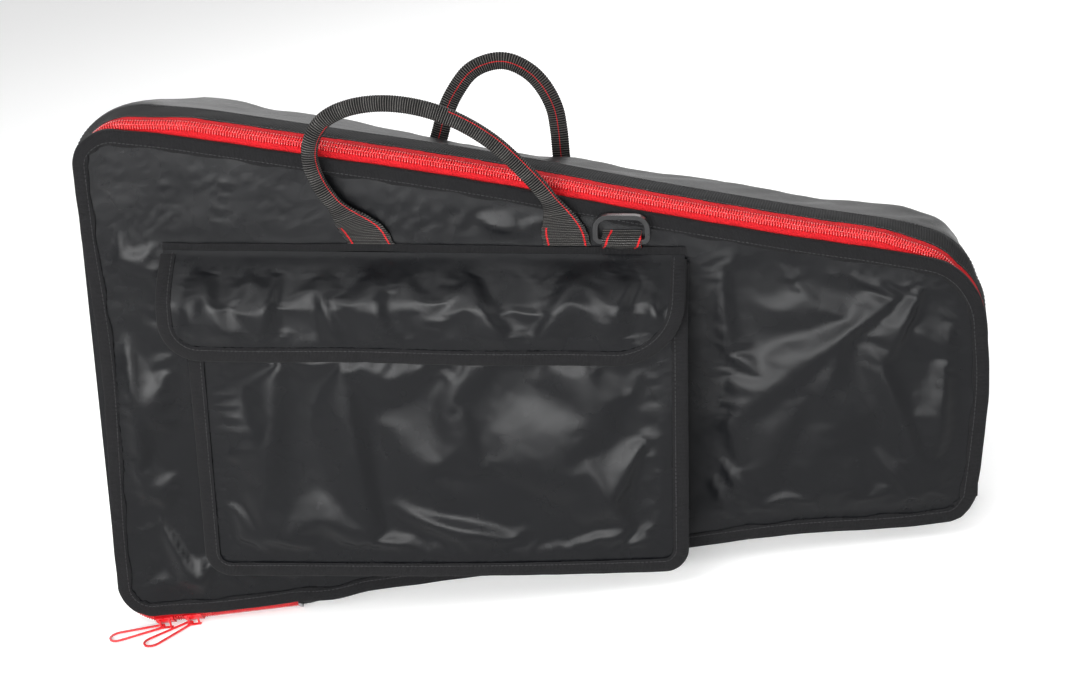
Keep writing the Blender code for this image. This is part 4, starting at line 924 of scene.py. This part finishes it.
# Folds of the flap in its own sheet (u and minus the distance down from its seam)
FLAP_FOLDS = (
    ((-0.270, -0.020), (-0.235, -0.090), 0.0075, 0.026),
    ((-0.200, -0.025), (-0.222, -0.085), 0.0065, 0.020),
    ((-0.125, -0.015), (-0.110, -0.095), 0.0080, 0.026),
    ((-0.165, -0.035), (-0.150, -0.090), 0.0045, 0.014),
    ((-0.050, -0.015), (-0.008, -0.095), 0.0080, 0.026),
    ((0.005, -0.090), (0.050, -0.015), 0.0080, 0.024),
    ((0.090, -0.020), (0.062, -0.085), 0.0075, 0.020),
    ((0.105, -0.035), (0.112, -0.070), 0.0045, 0.010),
)


def build_flap():
    points, normals = flap_line()
    us = np.linspace(FLAP["left"] + 0.0004, FLAP["right"] - 0.0004, 128)
    base = points[:, 1] < -0.010
    order = np.argsort(points[base][:, 0])
    lows = -np.interp(us, points[base][order, 0], points[base][order, 1]) - 0.0004
    t = np.linspace(0, 1, 68)
    w = lows[:, None] * t
    u = np.broadcast_to(us[:, None], w.shape)
    edge = np.minimum(np.minimum(u - us[0], us[-1] - u), lows[:, None] - w)
    hold = ease(edge, 0.008, 0.026) * ease(w, 0.004, 0.030)
    raised = folds(u, -w, FLAP_FOLDS) + 0.0022 * drift(u, w, 0.12, 41, 2) + 0.0008
    grid = on_flap(u, w, np.clip(hold * raised, -0.0008, 0.009))
    flat = on_flap(u, w)
    out = (on_flap(u, w, 0.001) - flat) / 0.001
    free = drape(grid, hold, GROWTH["flap"])
    rise = limited(((free - flat) * out).sum(-1), 0.0010, 0.011)
    grid = flat + out * rise[..., None]
    flap = cloth("pocket_flap", grid, CLOTH, NYLON, "flap")
    rows = np.zeros((len(points), 12, 3))
    wave = wavy(len(points), 0.0002, 0.8)
    for k, (depth, n) in enumerate(fold_section(0.10, 0.97)):
        place = points + (n + 0.0015) * normals
        rows[:, k] = on_flap(place[:, 0], -place[:, 1], 0.0011 + wave - 0.0042 * depth)
    edging = skin("flap_binding", rows, BINDING, "flap", sharp=70)
    build_seam_tape()


def build_seam_tape():
    us = np.linspace(FLAP["left"], FLAP["right"], 110)
    grid = np.zeros((len(us), 5, 3))
    for k, t in enumerate(np.linspace(0, 1, 5)):
        grid[:, k, 0] = us
        grid[:, k, 1] = FRONT - GAP - 0.0018 - 0.0002 * math.sin(math.pi * t) + wavy(len(us), 0.0001, 1.1)
        grid[:, k, 2] = SEAM_TOP - SEAM_TALL * (1 - t) - 0.0005 * (1 + np.sin(us * 23 + 1) + 0.5 * np.sin(us * 61))
    cloth("flap_seam_tape", grid, 0.0014, BINDING, "lid")


def build_grip_tapes():
    """Hook and loop tapes that close the flap, with a rough pile."""
    width = POCKET["right"] - POCKET["left"]
    low = FLAP["low"] + 0.028
    for share, side in ((0.22, "left"), (0.78, "right")):
        middle = POCKET["left"] + width * share
        us = np.linspace(middle - 0.030, middle + 0.030, 60)
        for kind, y, body, sign in (("loop", POCKET_FACE - GAP - 0.0011, "lid", -1),
                                    ("hook", POCKET_FACE - 0.0027, "flap", 1)):
            grid = columns(us, low, low + 0.020, 24, y)
            grid[..., 1] += 0.0002 * drift(grid[..., 0], grid[..., 2], 0.004, 60 + len(kind), 2)
            cloth(f"{kind}_tape_{side}", grid, 0.0008, PILE, body, toward=(0, sign, 0))


# Webbing

def strip_section(half_width, half_thick, count=20, power=2.6):
    """A rounded flat section as offsets across and outwards, starting at the middle of its back."""
    angle = np.linspace(0, 2 * math.pi, count, endpoint=False) - math.pi / 2
    c, s = np.cos(angle), np.sin(angle)
    return (half_width * np.sign(c) * np.abs(c) ** (2 / power), half_thick * np.sign(s) * np.abs(s) ** (2 / power))


def strap(name, line, widths, thicks, finish, body, level=0.0, pitch=0.0, rib=0.0, sections=24, flat=None,
          shown=None):
    """Webbing or a grip swept along a line of points. flat is the half width that its weave is drawn at, and
    shown draws the weave's two edges in (below 1) where the fold hides their stripes."""
    count = len(line)
    rows = np.zeros((count, sections, 3))
    across = np.zeros((count, sections + 1))
    widths, thicks = np.broadcast_to(widths, count), np.broadcast_to(thicks, count)
    ahead = unit(np.gradient(line, axis=0))
    side = unit(np.cross(ahead, [0, 1, 0]), 1e-9)
    if level:
        share = np.minimum(np.arange(count), np.arange(count)[::-1]) / (count - 1)
        turn = np.clip(share / level, 0, 1)[:, None]
        flat_side = np.stack([np.where(side[:, 0] < 0, -1.0, 1.0), np.zeros(count), np.zeros(count)], -1)
        side = unit(flat_side * (1 - turn) + side * turn)
    up = np.cross(side, ahead)
    run = run_along(line)
    wave = 1 + rib * np.sin(2 * math.pi * run / pitch) if pitch else np.ones(count)
    for i in range(count):
        power = 2.2 if thicks[i] / widths[i] > 0.2 else 5.0
        a, b = strip_section(widths[i] / 2, thicks[i] / 2 * wave[i], sections, power)
        rows[i] = line[i] + side[i] * a[:, None] * (1 + (wave[i] - 1) * 0.5) + up[i] * b[:, None]
        place = a / (widths[i] / 2) * (flat or widths[i] / 2)
        if shown is not None:
            place = np.where(place > 0, place * shown[0][i], place * shown[1][i])
        across[i, :-1], across[i, -1] = place, place[0]
    return skin(name, rows, finish, body, across=across, sharp=65)


FRONT_HANDLE = (
    (0.00, 0.00), (-0.04, 0.11), (-0.13, 0.24), (-0.22, 0.41), (-0.27, 0.59), (-0.26, 0.745),
    (-0.19, 0.885), (-0.06, 0.97), (0.11, 1.00), (0.295, 0.97), (0.475, 0.885), (0.645, 0.745),
    (0.785, 0.57), (0.90, 0.39), (0.97, 0.21), (1.00, 0.00),
)
REAR_HANDLE = (
    (0.00, 0.00), (0.06, 0.175), (0.15, 0.43), (0.205, 0.63), (0.27, 0.78), (0.37, 0.925), (0.495, 0.995),
    (0.62, 1.00), (0.745, 0.93), (0.835, 0.82), (0.90, 0.67), (0.925, 0.505), (0.94, 0.30), (0.97, 0.135),
    (1.00, 0.00),
)


def build_handles():
    base = SEAM_TOP + GAP
    flat_width, flat_thick = 0.038, 0.002
    for name, (left, span), rise, shares, side, stand_off, finish, width, thick in (
        ("front_handle", FRONT_GRIP, 0.1225, FRONT_HANDLE, -1, 0.011, WEBBING, 0.0135, 0.0100),
        ("rear_handle", REAR_GRIP, 0.1205, REAR_HANDLE, 1, 0.008, WEBBING_MIDDLE, 0.0150, 0.0045),
    ):
        face = side * (DEPTH / 2 + GAP)
        controls = []
        for along, up in shares:
            depth = face + side * (0.001 + stand_off * math.sin(math.pi / 2 * min(2 * up, 1)))
            controls.append((left + span * along, depth, base + rise * up))
        line = respaced(smooth_line(controls, 12), 0.00040)
        order = np.arange(len(line)) / (len(line) - 1)
        share = np.minimum(order, 1 - order)
        widths = flat_width + (width - flat_width) * ease(share, 0.02, 0.13)
        thicks = flat_thick + (thick - flat_thick) * ease(share, 0.03, 0.17)
        shown = (np.where((order < 0.06) | (order > 0.60), 1, 0.74),
                 np.where((order < 0.33) | (order > 0.95), 1, 0.74))
        strap(name, line, widths, thicks, finish, name, 0.16, RIB, 0.05, 28, flat_width / 2, shown)


def webbing_run(centre, top, face, side):
    """Corners of flat webbing sewn square to the slanted top edge, from height top to the lower tape."""
    down = np.array([-math.sin(TAPER), -math.cos(TAPER)])
    start = np.array([centre, top])
    fall = (top + top_edge(centre) - TAPE - GAP) / math.cos(TAPER)
    reach = 0.992 if side < 0 and centre < 0 else 0.970
    end, y = start + down * fall * reach, face + side * 0.001
    return np.array([[start[0], y, start[1]], [end[0], y, end[1]]])


def build_webbing():
    spans = (("front", "lid", -1, FRONT_GRIP, SEAM_TOP - SEAM_TALL - GAP - 0.0035, WEBBING),
             ("rear", "bag", 1, REAR_GRIP, SEAM_TOP - GAP, WEBBING_MIDDLE))
    for where, body, side, (left, span), top, finish in spans:
        for end, centre in (("left", left), ("right", left + span)):
            line = respaced(webbing_run(centre, top, side * (DEPTH / 2 + GAP), side), 0.0006)
            strap(f"{where}_webbing_{end}", line, WEB_WIDE, WEB_THICK, finish, body, pitch=RIB, rib=0.05)


def build_ring_tab():
    """A short webbing loop round the bar of the ring, its ends sewn under the seam tape."""
    around = smooth_line([(FRONT - 0.0016, 0.1262), (FRONT - 0.0050, 0.1284), (FRONT - 0.0088, 0.1302),
                          (FRONT - 0.0107, 0.1335), (FRONT - 0.0100, 0.1372), (FRONT - 0.0070, 0.1392),
                          (FRONT - 0.0038, 0.1402), (FRONT - 0.0016, 0.1422)], 6)
    us = np.linspace(TAB_LEFT, TAB_RIGHT, 46)
    grid = np.zeros((len(us), len(around), 3))
    grid[..., 0] = us[:, None]
    grid[..., 1], grid[..., 2] = around[None, :, 0], around[None, :, 1]
    grid[..., 1] -= 0.0003 * np.sin(us * 260)[:, None]
    loop = cloth("ring_tab", grid, 0.0013, WEBBING_TAB, "lid")
    layer = loop.data.uv_layers["cloth"]
    place = np.zeros(len(layer.data) * 2, np.float32)
    layer.data.foreach_get("uv", place)
    across, along = place[0::2] - (TAB_RIGHT - TAB_LEFT) / 2, place[1::2].copy()
    place[0::2], place[1::2] = along, across - 0.30 * (along - 0.012)  # the stripes run slightly aslant
    layer.data.foreach_set("uv", place)


# Back straps

def build_straps():
    face, patch_thick = -FRONT + GAP, 0.0024
    patch = columns(np.linspace(0.260, 0.310, 40), -0.075, 0.075, 110, face + 0.0028)
    patch[..., 1] += 0.0004 * drift(patch[..., 0], patch[..., 2], 0.03, 71, 2)
    cloth("strap_anchor_patch", patch, patch_thick, BINDING, "bag", toward=(0, 1, 0))
    shares = ((0.00, 0.00, 0.00), (0.10, 0.05, 0.45), (0.25, 0.17, 0.85), (0.45, 0.40, 1.00),
              (0.65, 0.68, 1.00), (0.85, 0.90, 0.88), (1.00, 1.00, 0.72))
    for side, sign in (("upper", 1), ("lower", -1)):
        controls = [(0.259 - 0.370 * a, face + 0.005 + 0.034 * c, sign * (0.034 + 0.044 * b)) for a, b, c in shares]
        line = respaced(smooth_line(controls, 12), 0.004)
        count = len(line)
        share = np.arange(count) / (count - 1)
        widths = 0.056 - 0.003 * bump(share, 0.0, 0.05) - 0.004 * bump(share, 1.0, 0.08)
        thicks = 0.0096 - 0.003 * (bump(share, 0.0, 0.08) + bump(share, 1.0, 0.08))
        pad = strap("shoulder_strap_" + side, line, widths, thicks, NYLON_SOFT, "bag", sections=36)
        tab_z = sign * 0.130
        tab = columns(np.linspace(-0.340, -0.290, 30), tab_z - 0.025, tab_z + 0.025, 30, face + 0.0028)
        cloth("strap_tab_" + side, tab, patch_thick, BINDING, "bag", toward=(0, 1, 0))
        stop = line[-1] + unit(line[-1] - line[-2]) * 0.027
        onward = unit(stop - line[-1])
        landing = np.array([-0.305, face + 0.003 + GAP + 0.001, tab_z])
        path = [stop + onward * 0.001, stop + onward * 0.026,
                landing + np.array([0.015, 0, -sign * 0.015 * math.tan(TAPER)]), landing]
        web = respaced(np.array(path), 0.0006)
        soft = 25  # points over which the corners of the path are rounded
        ends = np.concatenate([np.repeat(web[:1], soft // 2, 0), web, np.repeat(web[-1:], soft // 2, 0)])
        web = np.stack([np.convolve(ends[:, k], np.ones(soft) / soft, "valid") for k in range(3)], -1)
        strap("lower_webbing_" + side, web, 0.0250, WEB_THICK, WEBBING_PLAIN, "bag", pitch=RIB, rib=0.05)


# Repeated pieces: zip coils and stitches

def scatter_tree(name):
    """Copies one small piece onto every point, turned to the point's own directions."""
    tree = bpy.data.node_groups.new(name, "GeometryNodeTree")
    for label, kind in (("Geometry", "Geometry"), ("Copied piece", "Object"), ("Finish", "Material"),
                        ("Size", "Float")):
        tree.interface.new_socket(label, in_out="INPUT", socket_type="NodeSocket" + kind)
    tree.interface.new_socket("Geometry", in_out="OUTPUT", socket_type="NodeSocketGeometry")
    start, end = node(tree, "NodeGroupInput"), node(tree, "NodeGroupOutput")
    ahead, out = (fill(node(tree, "GeometryNodeInputNamedAttribute", data_type="FLOAT_VECTOR"), Name=key)
                  for key in ("ahead", "out"))
    turn = node(tree, "FunctionNodeAxesToRotation", primary_axis="X", secondary_axis="Z")
    piece = node(tree, "GeometryNodeObjectInfo", transform_space="ORIGINAL")
    place = node(tree, "GeometryNodeInstanceOnPoints")
    real = node(tree, "GeometryNodeRealizeInstances")
    dress = node(tree, "GeometryNodeSetMaterial")
    for source, output, target, entry in (
        (ahead, "Attribute", turn, 0), (out, "Attribute", turn, 1), (start, "Geometry", place, "Points"),
        (start, "Copied piece", piece, "Object"), (piece, "Geometry", place, "Instance"),
        (turn, "Rotation", place, "Rotation"), (start, "Size", place, "Scale"),
        (place, "Instances", real, "Geometry"), (real, "Geometry", dress, "Geometry"),
        (start, "Finish", dress, "Material"), (dress, "Geometry", end, "Geometry"),
    ):
        tree.links.new(source.outputs[output], target.inputs[entry])
    return tree


SCATTER = scatter_tree("copies_on_points")


def scatter(name, places, ahead, out, piece, finish, body):
    """Sets copies of a small piece on points of the sewing frame and keeps them as one plain mesh."""
    points = to_row(places)
    origin = to_row(np.zeros(3))
    mesh = bpy.data.meshes.new(name + "_points")
    mesh.from_pydata(points.tolist(), [], [])
    for key, vectors in (("ahead", to_row(ahead) - origin), ("out", to_row(out) - origin)):
        layer = mesh.attributes.new(key, "FLOAT_VECTOR", "POINT")
        layer.data.foreach_set("vector", np.asarray(vectors, np.float32).ravel())
    carrier = add_object(name + "_points", mesh)
    modifier = carrier.modifiers.new("copies", "NODES")
    modifier.node_group = SCATTER
    names = {item.name: item.identifier for item in SCATTER.interface.items_tree if item.in_out == "INPUT"}
    for label, value in (("Copied piece", piece), ("Finish", finish), ("Size", 1.0)):
        modifier[names[label]] = value
    bpy.context.view_layer.update()
    graph = bpy.context.evaluated_depsgraph_get()
    made_mesh = bpy.data.meshes.new_from_object(carrier.evaluated_get(graph))
    carrier.modifiers.clear()
    bpy.data.objects.remove(carrier)
    made_mesh.name = name
    made_mesh.polygons.foreach_set("use_smooth", [True] * len(made_mesh.polygons))
    placed(name, made_mesh, body)


def small_tube(name, path, radius, sides=6):
    """A short round tube along a path with pointed ends, as a piece to copy."""
    path = np.asarray(path, float)
    ahead = unit(np.gradient(path, axis=0))
    first = unit(np.cross(ahead, [0.31, 0.17, 0.93]))
    second = np.cross(ahead, first)
    angle = np.arange(sides) / sides * 2 * math.pi
    ring = np.cos(angle)[:, None], np.sin(angle)[:, None]
    rows = [path[i] + radius * (first[i] * ring[0] + second[i] * ring[1]) for i in range(len(path))]
    points = np.concatenate([np.concatenate(rows), [path[0] - ahead[0] * radius * 0.6],
                             [path[-1] + ahead[-1] * radius * 0.6]])
    count = len(path)
    faces = []
    for i in range(count - 1):
        for j in range(sides):
            k = (j + 1) % sides
            faces.append((i * sides + j, i * sides + k, (i + 1) * sides + k, (i + 1) * sides + j))
    for j in range(sides):
        k = (j + 1) % sides
        faces.append((count * sides, j, k)[::-1])
        faces.append((count * sides + 1, (count - 1) * sides + j, (count - 1) * sides + k))
    mesh = bpy.data.meshes.new(name)
    mesh.from_pydata(points.tolist(), [], faces)
    outward(mesh)
    mesh.uv_layers.new(name="cloth")
    made = add_object(name, mesh)
    made.hide_render = True
    return made


def line_frames(line, outs, spacing):
    """Points at even spacing along a line with its directions ahead and outwards."""
    joined = respaced(np.concatenate([line, outs], 1), spacing)
    places, out = joined[:, :3], joined[:, 3:]
    ahead = unit(np.gradient(places, axis=0))
    return places, ahead, unit(out - ahead * (ahead * out).sum(1, keepdims=True))


def crown_line(s, lift, first, last):
    """A line over the crown at arc length s, with its outward directions."""
    line = crown_grid(s, s + 1e-6, lift, 1, first, last)[:, 0]
    high = crown_grid(s, s + 1e-6, lift + 0.001, 1, first, last)[:, 0]
    return line, (high - line) / 0.001


COIL_PITCH, COIL_HALF, COIL_WIRE = 0.0022, 0.00235, 0.00055  # of one row: pitch, half its width, radius of the wire
COIL_OFF = 0.00215  # how far each row's middle lies inside the chain's edge


def build_coils():
    """Each coil is a row of flattened turns; the turns of the two rows mesh along the middle of the chain."""
    t = np.linspace(0, 2 * math.pi, 15)
    for side, centre, sign, runs in (
        ("front", COIL_START + COIL_OFF, 1, (("zip_coil_front", ZIP_FIRST, ZIP_LAST, "lid"),
                                             ("zip_parked_coil", 0, ZIP_FIRST - 1, "bag"))),
        ("back", COIL_END - COIL_OFF, -1, (("zip_coil_back", 0, ZIP_LAST, "bag"),)),
    ):
        path = np.stack([COIL_PITCH * (t / 2 / math.pi - 0.5) + 0.0003 * np.sin(t),
                         sign * COIL_HALF * np.cos(t), 0.00120 * np.sin(t) + 0.0002], -1)
        turn = small_tube("coil_turn_" + side, path, COIL_WIRE, 8)
        for piece, first, last, body in runs:
            places, ahead, out = line_frames(*crown_line(centre, 0.0, first, last), COIL_PITCH)
            if side == "back":
                places = places[:-1] + np.diff(places, axis=0) / 2
                ahead, out = ahead[:-1], out[:-1]
            scatter(piece, places, ahead, out, turn, ZIP_COIL, body)
            core = respaced(crown_line(centre, -0.0002, first, last)[0], 0.004)
            strap(piece + "_cord", core, 0.0030, 0.0012, ZIP_TAPE, body)
        bpy.data.objects.remove(turn)


def build_stitches():
    thread = small_tube("stitch", [(-0.0013, 0, -0.0002), (-0.0007, 0, 0.0002), (0.0007, 0, 0.0002),
                                   (0.0013, 0, -0.0002)], 0.00028)

    def sew(name, line, outs, body):
        scatter(name, *line_frames(line, outs, STITCH_PITCH), thread, THREAD, body)

    for name, side, body in (("front_binding_stitches", -1, "lid"), ("back_binding_stitches", 1, "bag")):
        depth = side * (DEPTH / 2 + GAP + TAPE_WALL)
        line = round_rim([(depth, -TAPE + STITCH_INSET)], closed=True)[:, 0]
        line = np.concatenate([line, line[:1]])
        sew(name, line, np.tile([0.0, float(side), 0.0], (len(line), 1)), body)
    for name, s in (("facing_stitches_low", FACING_START + 0.0022), ("facing_stitches_high", FACING_END - 0.0022)):
        sew(name, *crown_line(s, 0.0001, 0, RIM_COUNT), "bag")
    points, normals = pocket_outline()
    line = pocket_hang(at_depth(points - (TAPE - STITCH_INSET) * normals, POCKET_FACE - GAP - TAPE_WALL))
    sew("pocket_stitches", line, np.tile([0.0, -1.0, 0.0], (len(line), 1)), "lid")
    points, normals = flap_line()
    place = points - (TAPE - 0.0042) * normals
    line = on_flap(place[:, 0], -place[:, 1], 0.0012)
    sew("flap_stitches", line, unit(on_flap(place[:, 0], -place[:, 1], 0.0022) - line), "flap")
    bpy.data.objects.remove(thread)


# Hardware

def dress_hardware():
    for finish, names in ((ENAMEL, ("slider_a", "slider_b", "pull_a", "pull_b")), (STEEL, ("zip_stop",)),
                          (PLASTIC, ("ring", "strap_adjuster_upper", "strap_adjuster_lower"))):
        for name in names:
            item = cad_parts[name]
            item.data.materials.clear()
            item.data.materials.append(finish)


# Studio

WORLD_LIGHT, FLOOR_LIFT = 0.36, 0.36
FLOOR_HALF = 8.0

# Lamps: place, target, width, height, power and fan in degrees
LAMPS = {
    "key_light": ((-1.3, -1.7, 2.0), (0, 0, 0.2), 1.5, 1.1, 25, 180),
    "front_light": ((-0.25, -1.45, 0.52), (0, 0, 0.26), 1.6, 0.50, 11, 95),
    "brow_light": ((-0.05, -1.0, 2.2), (0, 0, 0.3), 1.4, 0.7, 9, 180),
    "right_light": ((1.9, -1.0, 1.2), (0.1, 0, 0.2), 1.0, 1.0, 8, 180),
    "rear_light": ((0.2, 1.6, 1.5), (0, 0, 0.25), 1.8, 0.9, 20, 180),
}


def soft_light(name, place, target, width, height, power, fan):
    lamp = bpy.data.lights.new(name, "AREA")
    lamp.shape = "RECTANGLE"
    lamp.size, lamp.size_y, lamp.energy, lamp.spread = width, height, power, math.radians(fan)
    made = add_object(name, lamp)
    made.location = place
    made.rotation_euler = Matrix(look_axes(np.array(place) - np.array(target))).to_euler()
    made.visible_camera = False


def look_axes(away):
    """Rotation whose z axis points along away and whose x axis is level."""
    z = np.array(away, float) / np.linalg.norm(away)
    x = np.cross([0, 0, 1], z)
    x = x / np.linalg.norm(x)
    y = np.cross(z, x)
    return np.stack([x, y, z], 1).tolist()


def direct_view(tree):
    """1 for camera, glossy and transmission rays, 0 for the light that falls on things."""
    path = node(tree, "ShaderNodeLightPath")
    rays = [path.outputs[f"Is {kind} Ray"] for kind in ("Camera", "Glossy", "Transmission")]
    return maths(tree, "MAXIMUM", maths(tree, "MAXIMUM", rays[0], rays[1]), rays[2])


def build_studio():
    scene = bpy.context.scene
    scene.view_settings.view_transform = "Standard"
    mesh = bpy.data.meshes.new("floor")
    h = FLOOR_HALF
    mesh.from_pydata([(-h, -h, 0), (h, -h, 0), (h, h, 0), (-h, h, 0)], [], [(0, 1, 2, 3)])
    floor = add_object("floor", mesh)
    paper = bpy.data.materials.new("floor_paper")
    paper.use_nodes = True
    tree = paper.node_tree
    shader = fill(tree.nodes["Principled BSDF"], Base_Color=(0.85, 0.85, 0.85, 1), Roughness=0.9,
                  Specular_IOR_Level=0.1, Emission_Color=(1, 1, 1, 1))
    tree.links.new(ramp(tree, direct_view(tree), 0, 1, 0, FLOOR_LIFT), shader.inputs["Emission Strength"])
    mesh.materials.append(paper)
    world = bpy.data.worlds.new("studio")
    scene.world = world
    world.use_nodes = True
    tree = world.node_tree
    back = fill(tree.nodes["Background"], Color=(1, 1, 1, 1))
    tree.links.new(ramp(tree, direct_view(tree), 0, 1, WORLD_LIGHT, 1.0), back.inputs["Strength"])
    for name, values in LAMPS.items():
        soft_light(name, *values)


# The camera's place, and its right, up and forward directions
CAMERA_PLACE = (0.36792, -1.94664, 0.96817)
CAMERA_RIGHT, CAMERA_UP = (0.97750, 0.10369, -0.18368), (0.13124, 0.38274, 0.91449)
CAMERA_FORWARD = (-0.16513, 0.91802, -0.36052)


def build_camera():
    lens = bpy.data.cameras.new("camera")
    lens.lens, lens.sensor_width, lens.sensor_fit = 83.333, 36.0, "HORIZONTAL"
    made = add_object("camera", lens)
    turn = Matrix([CAMERA_RIGHT, CAMERA_UP, [-x for x in CAMERA_FORWARD]]).transposed().to_4x4()
    made.matrix_world = Matrix.Translation(CAMERA_PLACE) @ turn
    bpy.context.scene.camera = made


def main():
    build_camera()
    build_panels()
    build_bindings()
    build_zip_cloth()
    build_gusset()
    build_pocket()
    build_flap()
    build_grip_tapes()
    build_handles()
    build_webbing()
    build_ring_tab()
    build_straps()
    build_coils()
    build_stitches()
    dress_hardware()
    build_studio()


main()
